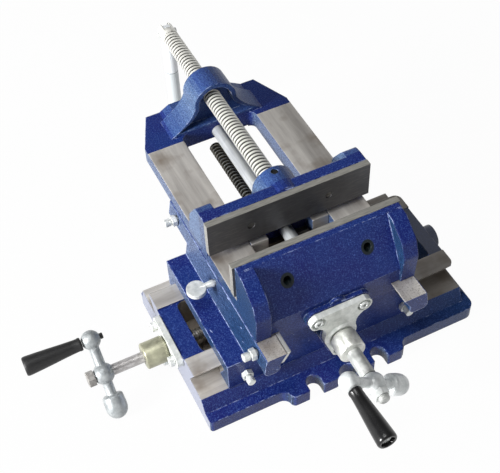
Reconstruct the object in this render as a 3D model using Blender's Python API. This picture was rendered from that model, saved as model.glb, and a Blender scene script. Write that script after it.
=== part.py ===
"""Cross slide vise for a drill press table.

X runs along the base, Y from the front crank to the rear bridge, Z is up.
The origin is at the middle of the base's underside.
A base with dovetail rails carries a saddle, the saddle carries the vise body
on a second dovetail across the first, and the body carries the clamping jaw.
"""

import math

import bmesh
import bpy
from mathutils import Matrix, Vector
from mathutils.geometry import convex_hull_2d

MM = 0.001

# Clearances
SEAT_GAP = 0.3 * MM
RUNNING_GAP = 0.35 * MM
BORE_GAP = 0.4 * MM
DOVETAIL_SLOPE = math.tan(math.radians(30))
BALL_SMOOTH = 50

# Base casting
BASE_LENGTH = 253.2 * MM
FLANGE_WIDTH = 153.2 * MM
FLANGE_THICK = 13.8 * MM
FLANGE_CORNER = 8 * MM
FLANGE_OVERHANG = 7 * MM
WALL_FOOT_HALF = 66.5 * MM
LEDGE_TOP = 26.2 * MM
LEDGE_HALF = 59.3 * MM
REAR_WALL_FOOT = 72 * MM
REAR_LEDGE = 68 * MM
BASE_RAIL_TOP = 45.6 * MM
BASE_RAIL_OUTER = 47.7 * MM
BASE_RAIL_INNER = 28.8 * MM
RAIL_END_ROUND = 7 * MM
END_WALL_TOP = 43.8 * MM
LEFT_WALL_THICK = 17 * MM
RIGHT_WALL_THICK = 12.6 * MM
POCKET_FLOOR = 11 * MM
POCKET_CORNER = 6 * MM
LUG_PITCH = 63 * MM
LUG_WIDTH = 46.3 * MM
LUG_REACH = 10 * MM
LUG_CORNER = 4 * MM
LUG_ROOT = 8 * MM
SLOT_WIDTH = 13.4 * MM
SLOT_DEPTH = 13.8 * MM
BEARING_BOSS_RADIUS = 11 * MM
BEARING_BOSS_REACH = 9 * MM

# Saddle casting, placed where the photograph shows it along the base
SADDLE_X = -4.9 * MM
SADDLE_LEFT = 91.5 * MM
SADDLE_RIGHT = 77.7 * MM
SADDLE_FOOT = 4.9 * MM
SADDLE_FRONT = -60.6 * MM
SADDLE_REAR = 64.5 * MM
FOOT_TOP = 58.5 * MM
WALL_TOP = 87 * MM
WALL_OUTER_TOP = 73.1 * MM
WALL_OUTER_FOOT = 77.7 * MM
PRONG_FRONT = -87.4 * MM
PRONG_REAR = 104.1 * MM
PRONG_UNDERSIDE = 66.7 * MM
PRONG_CORNER = 5 * MM
CHANNEL_FLOOR = 76 * MM
TROUGH_HALF = 16 * MM
TROUGH_FLOOR = 53.6 * MM

# Gib strips and their screws
X_GIB_THICK = 5 * MM
Y_GIB_THICK = 3 * MM
GIB_SCREW_RADIUS = 2.5 * MM
GIB_HOLE_REACH = 30 * MM
GIB_NUT_RADIUS = 5.2 * MM
GIB_NUT_THICK = 4.4 * MM
GIB_HEAD_RADIUS = 3.6 * MM
GIB_HEAD_LENGTH = 5.2 * MM
X_GIB_SCREW_HEIGHT = 40 * MM
X_GIB_SCREWS = (-80 * MM, 71 * MM)
Y_GIB_SCREW_HEIGHT = 79.5 * MM
Y_GIB_MIDDLE = 8.1 * MM
Y_GIB_PITCH = 79 * MM
THUMB_RADIUS = 8.5 * MM
THUMB_THICK = 4 * MM
THUMB_STEM = 9 * MM

# Lead screws
X_SCREW_HEIGHT = 29.5 * MM
Y_SCREW_HEIGHT = 61.6 * MM
LEAD_RADIUS = 5.6 * MM
JOURNAL_RADIUS = 4.8 * MM
X_NUT_LENGTH = 50 * MM
X_NUT_WIDTH = 30 * MM
X_NUT_BOTTOM = 15 * MM
Y_NUT_LENGTH = 26 * MM
Y_SCREW_REAR = 169.6 * MM
COLLAR_RADIUS = 11.7 * MM
X_COLLAR_LENGTH = 18.4 * MM
Y_COLLAR_LENGTH = 17 * MM
BEARING_PLATE = 5.4 * MM
BEARING_HUB = 15 * MM
EAR_RADIUS = 7.6 * MM
WAIST_PULL = 0.72
EAR_SCREW_RADIUS = 2.5 * MM
EAR_HEAD_RADIUS = 4.2 * MM
EAR_HEAD_LENGTH = 4.5 * MM
EAR_SCREW_DEPTH = 7.5 * MM
X_EARS = ((-19.5 * MM, 7.5 * MM), (19.5 * MM, 7.5 * MM), (0, -18.5 * MM))
Y_EARS = ((-20.7 * MM, 27.3 * MM), (20.7 * MM, 27.3 * MM), (0, -21.8 * MM))

# Ball cranks
X_CRANK_X = -189.4 * MM
Y_CRANK_Y = -128.9 * MM
CRANK_ARM = 30.5 * MM
HUB_BALL = 8.2 * MM
GRIP_BALL = 8.2 * MM
WEIGHT_BALL = 9.7 * MM
CRANK_NECK = 3.6 * MM
X_CRANK_TURN = math.radians(42)
Y_CRANK_TURN = math.radians(140.5)
CRANK_NUT_RADIUS = 7 * MM
CRANK_NUT_LENGTH = 5.5 * MM
SHAFT_TIP = 4 * MM
GRIP_LENGTH = 50 * MM
GRIP_NECK_RADIUS = 5.6 * MM
GRIP_END_RADIUS = 8.4 * MM
GRIP_RECESS_RADIUS = 5.4 * MM
GRIP_RECESS_DEPTH = 6 * MM
STUD_RADIUS = 3 * MM
STUD_HEAD_RADIUS = 4.6 * MM
STUD_HEAD_LENGTH = 3 * MM

# Vise body
RAIL_TOP = 102.2 * MM
RAIL_OUTER = 72.5 * MM
RAIL_INNER = 37 * MM
RAIL_UNDERCUT = 44 * MM
KEEPER_LEDGE = 84.5 * MM
BODY_DOVETAIL_HALF = 51.5 * MM
BODY_FRONT = -65.9 * MM
SLOT_FRONT = -31 * MM
SLOT_CORNER = 6 * MM
BRIDGE_FRONT = 158.6 * MM
BRIDGE_REAR = 197.6 * MM
BRIDGE_UNDERSIDE = 86 * MM
BRIDGE_TAIL_HALF = 55.5 * MM
BELL_REAR = 185 * MM
BELL_FLARE_HALF = 48 * MM
BELL_RIM = 4.5 * MM
BELL_RECESS = 8 * MM
BRIDGE_RIB_HALF = 32 * MM
BRIDGE_RIB_RISE = 6 * MM
APRON_FRONT = -70 * MM
APRON_BACK = -61.7 * MM
APRON_GROW = 1.5 * MM

# Jaws
JAW_LENGTH = 150 * MM
PLATE_THICK = 5.9 * MM
JAW_TOP = 145.4 * MM
JAW_RISE = JAW_TOP - RAIL_TOP
PLATE_FOOT_GAP = 7.2 * MM
PLATE_HEIGHT = JAW_RISE - PLATE_FOOT_GAP
FIXED_FACE = -28.1 * MM
JAW_GAP = 40.7 * MM
FIXED_TOP_THICK = 5.2 * MM
GUSSET_INNER = 59.5 * MM
FIXED_GUSSET = ((13 * MM, 0.046, 0.162), (30 * MM, 0.333, 0.278), (35.5 * MM, 0.68, 0.278))
FIXED_GUSSET_FOOT = 33.5 * MM
FIXED_END_INSET = 2.1 * MM
MOVING_END_INSET = 0.5 * MM
MOVING_WALL = 10.8 * MM
MOVING_FOOT_REAR = 54.6 * MM
MOVING_FOOT_THICK = 10 * MM
MOVING_GUSSET_INNER = 61 * MM
MOVING_GUSSET_DROP = 0.51 * JAW_RISE
MOVING_GUSSET_CREST = 7 * MM
LAND_INNER = 21 * MM
LAND_DEPTH = 12 * MM
PLATE_SCREW_X = 36 * MM
PLATE_SCREW_Z = JAW_TOP - 0.426 * JAW_RISE
PLATE_SCREW_RADIUS = 3 * MM
PLATE_SCREW_LENGTH = 16 * MM
PLATE_SCREW_SINK = 0.6 * MM
KEEPER_THICK = 7 * MM
KEEPER_FRONT = 20 * MM
KEEPER_REAR = 50 * MM
KEEPER_SCREW_X = 28 * MM

# Clamp screw, guide rod and folding handle
CLAMP_HEIGHT = 128.7 * MM
CLAMP_RADIUS = 8 * MM
CLAMP_NECK_RADIUS = 5.6 * MM
CLAMP_SEAT = 28 * MM
BARREL_RADIUS = 18.5 * MM
BARREL_REAR = 46.6 * MM
SET_SCREW_Y = 41 * MM
SET_SCREW_RADIUS = 2.8 * MM
BRIDGE_BARREL = 20.8 * MM
ROD_HEIGHT = 93.25 * MM
ROD_RADIUS = 6 * MM
ROD_BOSS_RADIUS = 8.3 * MM
ROD_BOSS_REACH = 3 * MM
ROD_SEAT = 10 * MM
HANDLE_Y = 270.6 * MM
CLAMP_END = HANDLE_Y + 7 * MM
HANDLE_SLOT = 7 * MM
HANDLE_PIN_RADIUS = 2.5 * MM
HANDLE_PIN_HALF = 9.2 * MM
HANDLE_RADIUS = 6.6 * MM
HANDLE_LENGTH = 105 * MM
TANG_RADIUS = 7.2 * MM
TANG_DROP = 11.8 * MM


def clear_scene():
    for old in list(bpy.data.objects):
        bpy.data.objects.remove(old, do_unlink=True)


# Modelling helpers

def plane_point(axis, along, a, b):
    """A point at a distance along an axis, with a and b across it."""
    if axis == "X":
        return Vector((along, a, b))
    if axis == "Y":
        return Vector((a, along, b))
    return Vector((a, b, along))


def mesh_object(bm, smooth=None):
    bmesh.ops.recalc_face_normals(bm, faces=bm.faces)
    mesh = bpy.data.meshes.new("piece")
    bm.to_mesh(mesh)
    bm.free()
    if smooth is not None:
        mesh.shade_smooth()
        mesh.set_sharp_from_angle(angle=math.radians(smooth))
    piece = bpy.data.objects.new("piece", mesh)
    bpy.context.scene.collection.objects.link(piece)
    return piece


def prism(outline, axis, start, end, smooth=None):
    """A closed outline extruded along an axis."""
    bm = bmesh.new()
    first = [bm.verts.new(plane_point(axis, start, a, b)) for a, b in outline]
    last = [bm.verts.new(plane_point(axis, end, a, b)) for a, b in outline]
    bm.faces.new(first)
    bm.faces.new(last)
    count = len(outline)
    for i in range(count):
        j = (i + 1) % count
        bm.faces.new((first[i], first[j], last[j], last[i]))
    return mesh_object(bm, smooth)


def box(x0, x1, y0, y1, z0, z1):
    return prism([(x0, y0), (x1, y0), (x1, y1), (x0, y1)], "Z", z0, z1)


def turned(profile, axis, a0=0.0, b0=0.0, sides=28, smooth=35):
    """A profile of (along, radius) points turned about a line parallel to an axis.

    The profile is closed on the axis where its ends have no radius, and is
    closed on itself otherwise.
    """
    bm = bmesh.new()
    rings = []
    for along, radius in profile:
        if radius == 0:
            rings.append([bm.verts.new(plane_point(axis, along, a0, b0))])
            continue
        ring = []
        for k in range(sides):
            turn = 2 * math.pi * (k + 0.5) / sides
            a = a0 + radius * math.cos(turn)
            b = b0 + radius * math.sin(turn)
            ring.append(bm.verts.new(plane_point(axis, along, a, b)))
        rings.append(ring)
    pairs = list(zip(rings, rings[1:]))
    if profile[0][1] > 0:
        pairs.append((rings[-1], rings[0]))
    for one, two in pairs:
        for k in range(sides):
            n = (k + 1) % sides
            if len(one) == 1:
                bm.faces.new((one[0], two[k], two[n]))
            elif len(two) == 1:
                bm.faces.new((one[k], one[n], two[0]))
            else:
                bm.faces.new((one[k], one[n], two[n], two[k]))
    return mesh_object(bm, smooth)


def rod(axis, start, end, radius, a0=0.0, b0=0.0, sides=28):
    profile = [(start, 0), (start, radius), (end, radius), (end, 0)]
    return turned(profile, axis, a0, b0, sides)


def combine(target, tool, operation):
    """Apply one exact Boolean to the target and remove the tool."""
    step = target.modifiers.new(operation, "BOOLEAN")
    step.operation = operation
    step.solver = "EXACT"
    step.object = tool
    bpy.context.view_layer.update()
    graph = bpy.context.evaluated_depsgraph_get()
    result = bpy.data.meshes.new_from_object(target.evaluated_get(graph))
    target.modifiers.remove(step)
    target.data = result
    bpy.data.objects.remove(tool, do_unlink=True)
    return target


def join(target, *tools):
    for tool in tools:
        combine(target, tool, "UNION")
    return target


def cut(target, *tools):
    for tool in tools:
        combine(target, tool, "DIFFERENCE")
    return target


def rounded(corners, steps=5):
    """An outline of (a, b, radius) corners with each corner drawn as an arc."""
    outline = []
    count = len(corners)
    for i, (a, b, radius) in enumerate(corners):
        here = Vector((a, b))
        before = Vector(corners[i - 1][:2])
        after = Vector(corners[(i + 1) % count][:2])
        if radius == 0:
            outline.append((a, b))
            continue
        back = (before - here).normalized()
        on = (after - here).normalized()
        half = back.angle(on) / 2
        reach = radius / math.tan(half)
        centre = here + (back + on).normalized() * (radius / math.sin(half))
        start = here + back * reach - centre
        sweep = start.angle_signed(here + on * reach - centre)
        for k in range(steps + 1):
            turn = Matrix.Rotation(-sweep * k / steps, 2)
            outline.append(tuple(centre + turn @ start))
    return outline


def circle(a0, b0, radius, sides=24):
    turns = [2 * math.pi * (k + 0.5) / sides for k in range(sides)]
    return [(a0 + radius * math.cos(t), b0 + radius * math.sin(t)) for t in turns]


def hull(points):
    return [points[i] for i in convex_hull_2d(points)]


def mirrored(half):
    """A closed outline from its right half, listed from bottom to top."""
    return half + [(-a, b) for a, b in reversed(half)]


def ball_arc(centre, radius, enter, leave, steps=7):
    """Profile points of a ball between two distances along its axis."""
    first = math.acos(max(-1.0, min(1.0, (enter - centre) / radius)))
    last = math.acos(max(-1.0, min(1.0, (leave - centre) / radius)))
    points = []
    for k in range(steps + 1):
        turn = first + (last - first) * k / steps
        points.append((centre + radius * math.cos(turn), abs(radius * math.sin(turn))))
    return points


MATERIALS = {}


def material(name, colour, metallic, roughness):
    made = bpy.data.materials.new(name)
    made.use_nodes = True
    shader = made.node_tree.nodes["Principled BSDF"]
    shader.inputs["Base Color"].default_value = (*colour, 1)
    shader.inputs["Metallic"].default_value = metallic
    shader.inputs["Roughness"].default_value = roughness
    made.diffuse_color = (*colour, 1)
    MATERIALS[name] = made


def make_materials():
    material("blue_paint", (0.02, 0.035, 0.22), 0.0, 0.35)
    material("zinc", (0.75, 0.76, 0.74), 1.0, 0.3)
    material("steel", (0.45, 0.44, 0.42), 1.0, 0.35)
    material("black_steel", (0.05, 0.05, 0.05), 1.0, 0.45)
    material("bronze", (0.45, 0.3, 0.12), 1.0, 0.4)
    material("black_plastic", (0.015, 0.015, 0.015), 0.0, 0.3)


def name_part(piece, name, look, origin=None, parent=None):
    """Name a finished piece, give it its material and put its origin on its joint."""
    piece.name = name
    piece.data.name = name
    piece.data.materials.clear()
    piece.data.materials.append(MATERIALS[look])
    if origin is not None:
        place = Vector(origin)
        piece.data.transform(Matrix.Translation(-place))
        piece.location = place
    if parent is not None:
        piece.parent = parent
        piece.matrix_parent_inverse = parent.matrix_world.inverted()
    return piece


def pivot(name, place):
    empty = bpy.data.objects.new(name, None)
    empty.location = place
    bpy.context.scene.collection.objects.link(empty)
    bpy.context.view_layer.update()
    return empty


# Base casting: slotted flange, ledges, dovetail rails and the open screw pocket

def flange_outline():
    half = BASE_LENGTH / 2
    edge = FLANGE_WIDTH / 2
    tip = edge + LUG_REACH
    slot_end = tip - SLOT_DEPTH
    slot = SLOT_WIDTH / 2
    small = 3 * MM
    front = [(-half, -edge, small)]
    for side in (-1, 1):
        lug = side * LUG_PITCH / 2
        left = lug - LUG_WIDTH / 2
        right = lug + LUG_WIDTH / 2
        front += [(left, -edge, LUG_ROOT), (left, -tip, LUG_CORNER)]
        front += [(lug - slot, -tip, small / 3), (lug - slot, -slot_end, slot * 0.98)]
        front += [(lug + slot, -slot_end, slot * 0.98), (lug + slot, -tip, small / 3)]
        front += [(right, -tip, LUG_CORNER), (right, -edge, LUG_ROOT)]
    front += [(half + FLANGE_OVERHANG, -edge, FLANGE_CORNER)]
    rear = [(x, -y, radius) for x, y, radius in reversed(front)]
    return rounded(front + rear)


def base_profile():
    foot = BASE_RAIL_OUTER - (BASE_RAIL_TOP - LEDGE_TOP) * DOVETAIL_SLOPE
    rail = [
        (foot, LEDGE_TOP),
        (BASE_RAIL_OUTER, BASE_RAIL_TOP),
        (BASE_RAIL_INNER, BASE_RAIL_TOP),
        (BASE_RAIL_INNER, END_WALL_TOP),
    ]
    rear = [(REAR_WALL_FOOT, FLANGE_THICK / 2), (REAR_WALL_FOOT, FLANGE_THICK), (REAR_LEDGE, LEDGE_TOP)]
    front = [(-LEDGE_HALF, LEDGE_TOP), (-WALL_FOOT_HALF, FLANGE_THICK), (-WALL_FOOT_HALF, FLANGE_THICK / 2)]
    return rear + mirrored(rail) + front


def rail_end_corner(side):
    """What is taken off a base rail's outer corner at the right end."""
    end = BASE_LENGTH / 2
    reach = BASE_RAIL_OUTER - RAIL_END_ROUND
    outline = [(end + MM, side * reach)]
    for k in range(6):
        turn = math.pi / 2 * k / 5
        x = end + RAIL_END_ROUND * (math.cos(turn) - 1)
        outline.append((x, side * (reach + RAIL_END_ROUND * math.sin(turn))))
    outline += [(end - RAIL_END_ROUND, side * (BASE_RAIL_OUTER + MM)), (end + MM, side * (BASE_RAIL_OUTER + MM))]
    return outline


def base_casting():
    half = BASE_LENGTH / 2
    left = LEFT_WALL_THICK - half
    right = half - RIGHT_WALL_THICK
    boss_end = half + BEARING_BOSS_REACH
    casting = prism(flange_outline(), "Z", 0, FLANGE_THICK)
    join(casting, prism(base_profile(), "X", -half, half))
    slope = [
        (half - MM, FLANGE_THICK - MM), (half + FLANGE_OVERHANG - MM, FLANGE_THICK - MM),
        (half + FLANGE_OVERHANG - MM, FLANGE_THICK), (half, LEDGE_TOP), (half - MM, LEDGE_TOP),
    ]
    join(casting, prism(slope, "Y", -LEDGE_HALF, LEDGE_HALF))
    boss = rod("X", half - RIGHT_WALL_THICK / 2, boss_end, BEARING_BOSS_RADIUS, 0, X_SCREW_HEIGHT)
    join(casting, boss)
    inner = BASE_RAIL_INNER
    pocket = rounded([
        (left, -inner, POCKET_CORNER),
        (right, -inner, POCKET_CORNER),
        (right, inner, POCKET_CORNER),
        (left, inner, POCKET_CORNER),
    ])
    cut(casting, prism(pocket, "Z", POCKET_FLOOR, BASE_RAIL_TOP + MM))
    for side in (-1, 1):
        corner = rail_end_corner(side)
        cut(casting, prism(corner, "Z", LEDGE_TOP + RAIL_END_ROUND / 2, BASE_RAIL_TOP + MM))
    bore = JOURNAL_RADIUS + BORE_GAP
    cut(casting, rod("X", -half * 1.1, left + POCKET_CORNER, bore, 0, X_SCREW_HEIGHT))
    cut(casting, rod("X", right - POCKET_CORNER, boss_end - 3 * MM, bore, 0, X_SCREW_HEIGHT))
    for across, up in X_EARS:
        depth = -half + EAR_SCREW_DEPTH + SEAT_GAP
        hole = EAR_SCREW_RADIUS + BORE_GAP
        cut(casting, rod("X", -half * 1.1, depth, hole, across, X_SCREW_HEIGHT + up, 16))
    name_part(casting, "base_casting", "blue_paint")


# Bearing plates: three ears round a hub, one on each lead screw

def eared_plate(axis, ears, a0, b0, start, end, grow=0.0):
    """The upper two ears on a bar, a waist that curves in to the hub, and the lower ear."""
    ear = EAR_RADIUS + grow
    hub = circle(a0, b0, BEARING_HUB + grow, 28)
    rings = [circle(a0 + a, b0 + b, ear, 16) for a, b in ears]
    across, up = ears[1]
    top = (across, up - ear * 0.98)
    foot = (BEARING_HUB + grow, 0)
    pull = (BEARING_HUB * WAIST_PULL, (up - ear) * WAIST_PULL)
    waist = []
    for k in range(7):
        t = k / 6
        a = top[0] * (1 - t) ** 2 + 2 * pull[0] * t * (1 - t) + foot[0] * t ** 2
        b = top[1] * (1 - t) ** 2 + 2 * pull[1] * t * (1 - t) + foot[1] * t ** 2
        waist.append((a, b))
    web = [(a0 + a, b0 + b) for a, b in [(across * 0.9, up)] + waist]
    web += [(a0 - a, b0 + b) for a, b in reversed([(across * 0.9, up)] + waist)]
    plate = prism(hull(rings[0] + rings[1]), axis, start, end)
    lower = prism(hull(hub + rings[2]), axis, start, end)
    return join(plate, lower, prism(web, axis, start, end))


def ear_screw(axis, a, b, face, inward, name, parent):
    """A cap screw: its head stands on the plate and its shank runs inward."""
    top = face - inward * (SEAT_GAP + EAR_HEAD_LENGTH)
    under = face - inward * SEAT_GAP
    tip = face + inward * (BEARING_PLATE + EAR_SCREW_DEPTH - SEAT_GAP)
    socket = EAR_HEAD_RADIUS * 0.5
    floor = top + inward * EAR_HEAD_LENGTH * 0.5
    profile = [
        (floor, 0), (floor, socket), (top, socket), (top, EAR_HEAD_RADIUS),
        (under, EAR_HEAD_RADIUS), (under, EAR_SCREW_RADIUS), (tip, EAR_SCREW_RADIUS), (tip, 0),
    ]
    name_part(turned(profile, axis, a, b, 14), name, "zinc", None, parent)


def x_bearing():
    wall = -BASE_LENGTH / 2
    inner = wall - SEAT_GAP
    outer = inner - BEARING_PLATE
    plate = eared_plate("X", X_EARS, 0, X_SCREW_HEIGHT, outer, inner)
    bore = JOURNAL_RADIUS + BORE_GAP
    cut(plate, rod("X", outer * 1.1, inner * 0.9, bore, 0, X_SCREW_HEIGHT))
    for a, b in X_EARS:
        hole = EAR_SCREW_RADIUS + BORE_GAP
        cut(plate, rod("X", outer * 1.1, inner * 0.9, hole, a, X_SCREW_HEIGHT + b, 16))
    name_part(plate, "x_bearing_plate", "zinc")
    for k, (a, b) in enumerate(X_EARS):
        ear_screw("X", a, X_SCREW_HEIGHT + b, outer, 1, f"x_bearing_screw_{k + 1}", None)
    return outer


# Ball crank: three balls on one turned arm, drilled for the shaft and the grip stud

def ball_crank(axis, along, a0, b0, turn):
    neck = CRANK_NECK
    hub_reach = math.sqrt(HUB_BALL ** 2 - neck ** 2)
    grip_reach = math.sqrt(GRIP_BALL ** 2 - neck ** 2)
    weight_reach = math.sqrt(WEIGHT_BALL ** 2 - neck ** 2)
    profile = ball_arc(-CRANK_ARM, WEIGHT_BALL, -CRANK_ARM - WEIGHT_BALL, weight_reach - CRANK_ARM, 6)
    profile += ball_arc(0, HUB_BALL, -hub_reach, hub_reach, 6)
    profile += ball_arc(CRANK_ARM, GRIP_BALL, CRANK_ARM - grip_reach, CRANK_ARM + GRIP_BALL, 6)
    profile[0] = (profile[0][0], 0)
    profile[-1] = (profile[-1][0], 0)
    crank = turned(profile, "X", 0, 0, 18, BALL_SMOOTH)
    if axis == "Y":
        pose = Matrix.Translation((a0, along, b0)) @ Matrix.Rotation(-turn, 4, "Y")
    else:
        upright = Matrix.Rotation(math.pi / 2, 4, "Z")
        pose = Matrix.Translation((along, a0, b0)) @ Matrix.Rotation(turn, 4, "X") @ upright
    crank.data.transform(pose)
    reach = WEIGHT_BALL * 2
    shaft = rod(axis, along - reach, along + reach, JOURNAL_RADIUS + SEAT_GAP, a0, b0, 20)
    arm_a = a0 + CRANK_ARM * math.cos(turn)
    arm_b = b0 + CRANK_ARM * math.sin(turn)
    stud = rod(axis, along - reach, along + reach, STUD_RADIUS + SEAT_GAP, arm_a, arm_b, 16)
    cut(crank, shaft, stud)
    return crank, arm_a, arm_b


def crank_set(axis, along, a0, b0, turn, prefix, pivot_point, parent):
    """The crank with its nut, grip and grip stud, all reaching towards minus."""
    crank, arm_a, arm_b = ball_crank(axis, along, a0, b0, turn)
    name_part(crank, prefix + "_crank", "steel", pivot_point, parent)
    face = along - HUB_BALL - SEAT_GAP
    nut_end = face - CRANK_NUT_LENGTH
    bore = JOURNAL_RADIUS + SEAT_GAP
    nut = prism(circle(a0, b0, CRANK_NUT_RADIUS, 6), axis, nut_end, face)
    cut(nut, rod(axis, nut_end - MM, face + MM, bore, a0, b0, 20))
    name_part(nut, prefix + "_crank_nut", "zinc", pivot_point, parent)
    grip_start = along - GRIP_BALL - SEAT_GAP
    grip_end = grip_start - GRIP_LENGTH
    hole = STUD_RADIUS + BORE_GAP
    floor = grip_end + GRIP_RECESS_DEPTH
    profile = [
        (grip_start, hole), (grip_start, GRIP_NECK_RADIUS), (grip_start - 10 * MM, GRIP_NECK_RADIUS * 1.08),
        (grip_end + 12 * MM, GRIP_END_RADIUS * 0.97), (grip_end + 1.5 * MM, GRIP_END_RADIUS),
        (grip_end, GRIP_END_RADIUS - 1.2 * MM), (grip_end, GRIP_RECESS_RADIUS),
        (floor, GRIP_RECESS_RADIUS), (floor, hole),
    ]
    grip = turned(profile, axis, arm_a, arm_b, 20, BALL_SMOOTH)
    grip_origin = plane_point(axis, along, arm_a, arm_b)
    name_part(grip, prefix + "_grip", "black_plastic", grip_origin, parent)
    head = floor - SEAT_GAP
    stud_profile = [
        (along + GRIP_BALL * 0.6, 0), (along + GRIP_BALL * 0.6, STUD_RADIUS), (head, STUD_RADIUS),
        (head, STUD_HEAD_RADIUS), (head - STUD_HEAD_LENGTH, STUD_HEAD_RADIUS), (head - STUD_HEAD_LENGTH, 0),
    ]
    stud = turned(stud_profile, axis, arm_a, arm_b, 16)
    name_part(stud, prefix + "_grip_stud", "zinc", pivot_point, parent)
    return nut_end


def lead_screw(axis, thread_end, thread_start, tip, a0, b0, tail=None):
    """A plain screw blank: its thread part, a journal and, where it has one, a tail journal."""
    profile = [(tip, 0), (tip, JOURNAL_RADIUS - MM), (tip + MM, JOURNAL_RADIUS)]
    profile += [(thread_start, JOURNAL_RADIUS), (thread_start, LEAD_RADIUS), (thread_end, LEAD_RADIUS)]
    if tail is None:
        profile += [(thread_end + MM, LEAD_RADIUS - MM), (thread_end + MM, 0)]
    else:
        profile += [(thread_end, JOURNAL_RADIUS), (tail, JOURNAL_RADIUS), (tail, 0)]
    return turned(profile, axis, a0, b0, 24)


def x_drive(plate_face):
    half = BASE_LENGTH / 2
    origin = (plate_face, 0, X_SCREW_HEIGHT)
    axle = pivot("x_screw_axis", origin)
    collar_face = plate_face - SEAT_GAP
    collar_end = collar_face - X_COLLAR_LENGTH
    collar = [
        (collar_face, JOURNAL_RADIUS + SEAT_GAP), (collar_face, COLLAR_RADIUS),
        (collar_end + MM, COLLAR_RADIUS), (collar_end, COLLAR_RADIUS - MM),
        (collar_end, JOURNAL_RADIUS + SEAT_GAP),
    ]
    name_part(turned(collar, "X", 0, X_SCREW_HEIGHT), "x_thrust_collar", "zinc", origin, axle)
    nut_end = crank_set("X", X_CRANK_X, 0, X_SCREW_HEIGHT, X_CRANK_TURN, "x", origin, axle)
    start = LEFT_WALL_THICK - half + POCKET_CORNER * 0.1
    end = half - RIGHT_WALL_THICK - SEAT_GAP
    tail = half + BEARING_BOSS_REACH / 2
    screw = lead_screw("X", end, start, nut_end - SHAFT_TIP, 0, X_SCREW_HEIGHT, tail)
    name_part(screw, "x_lead_screw", "steel", origin, axle)


# Saddle casting: dovetail below along X, channel above along Y

def wall_outer(z):
    share = (WALL_TOP - z) / (WALL_TOP - FOOT_TOP)
    return WALL_OUTER_TOP + (WALL_OUTER_FOOT - WALL_OUTER_TOP) * share


def left_wall_inner(z):
    top = BODY_DOVETAIL_HALF + 2 * RUNNING_GAP + Y_GIB_THICK
    return top + (WALL_TOP - z) * DOVETAIL_SLOPE


def right_wall_inner(z):
    return BODY_DOVETAIL_HALF + RUNNING_GAP + (WALL_TOP - z) * DOVETAIL_SLOPE


def cavity_front(z):
    top = BASE_RAIL_OUTER + 2 * RUNNING_GAP + X_GIB_THICK
    return -top + (BASE_RAIL_TOP - z) * DOVETAIL_SLOPE


def cavity_rear(z):
    return BASE_RAIL_OUTER + RUNNING_GAP - (BASE_RAIL_TOP - z) * DOVETAIL_SLOPE


def saddle_casting():
    bottom = LEDGE_TOP + SEAT_GAP
    left_foot = -SADDLE_LEFT - SADDLE_FOOT
    section = [
        (left_foot, bottom), (SADDLE_RIGHT, bottom), (SADDLE_RIGHT, FOOT_TOP), (WALL_OUTER_TOP, WALL_TOP),
        (right_wall_inner(WALL_TOP), WALL_TOP), (right_wall_inner(CHANNEL_FLOOR), CHANNEL_FLOOR),
        (TROUGH_HALF, CHANNEL_FLOOR), (TROUGH_HALF, TROUGH_FLOOR), (-TROUGH_HALF, TROUGH_FLOOR),
        (-TROUGH_HALF, CHANNEL_FLOOR), (-left_wall_inner(CHANNEL_FLOOR), CHANNEL_FLOOR),
        (-left_wall_inner(WALL_TOP), WALL_TOP), (-WALL_OUTER_TOP, WALL_TOP),
        (-wall_outer(FOOT_TOP), FOOT_TOP), (left_foot, FOOT_TOP),
    ]
    section = [(x + SADDLE_X, z) for x, z in section]
    casting = prism(section, "Y", SADDLE_FRONT, SADDLE_REAR)
    for side, inner in ((-1, left_wall_inner), (1, right_wall_inner)):
        prong = rounded([
            (side * wall_outer(PRONG_UNDERSIDE), PRONG_UNDERSIDE, PRONG_CORNER),
            (side * wall_outer(WALL_TOP), WALL_TOP, 0.8 * MM),
            (side * inner(WALL_TOP), WALL_TOP, 0),
            (side * inner(CHANNEL_FLOOR), CHANNEL_FLOOR, 0),
            (side * inner(CHANNEL_FLOOR), PRONG_UNDERSIDE, PRONG_CORNER),
        ])
        prong = [(x + SADDLE_X, z) for x, z in prong]
        join(casting, prism(prong, "Y", PRONG_FRONT, PRONG_REAR))
    top = BASE_RAIL_TOP + SEAT_GAP
    low = bottom - SADDLE_FOOT
    cavity = [
        (cavity_front(low), low), (cavity_front(top), top), (cavity_rear(top), top), (cavity_rear(low), low),
    ]
    reach = BASE_LENGTH
    cut(casting, prism(cavity, "X", -reach, reach))
    hole = GIB_SCREW_RADIUS + BORE_GAP
    for x in X_GIB_SCREWS:
        cut(casting, rod("Y", SADDLE_FRONT - 5 * MM, cavity_front(X_GIB_SCREW_HEIGHT) + 5 * MM, hole,
                         x + SADDLE_X, X_GIB_SCREW_HEIGHT, 16))
    inner = -left_wall_inner(Y_GIB_SCREW_HEIGHT) + SADDLE_X
    for step in (-1, 0, 1):
        cut(casting, rod("X", inner - GIB_HOLE_REACH, inner + 5 * MM, hole,
                         Y_GIB_MIDDLE + step * Y_GIB_PITCH, Y_GIB_SCREW_HEIGHT, 16))
    name_part(casting, "saddle_casting", "blue_paint", (SADDLE_X, 0, WALL_TOP))


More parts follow.
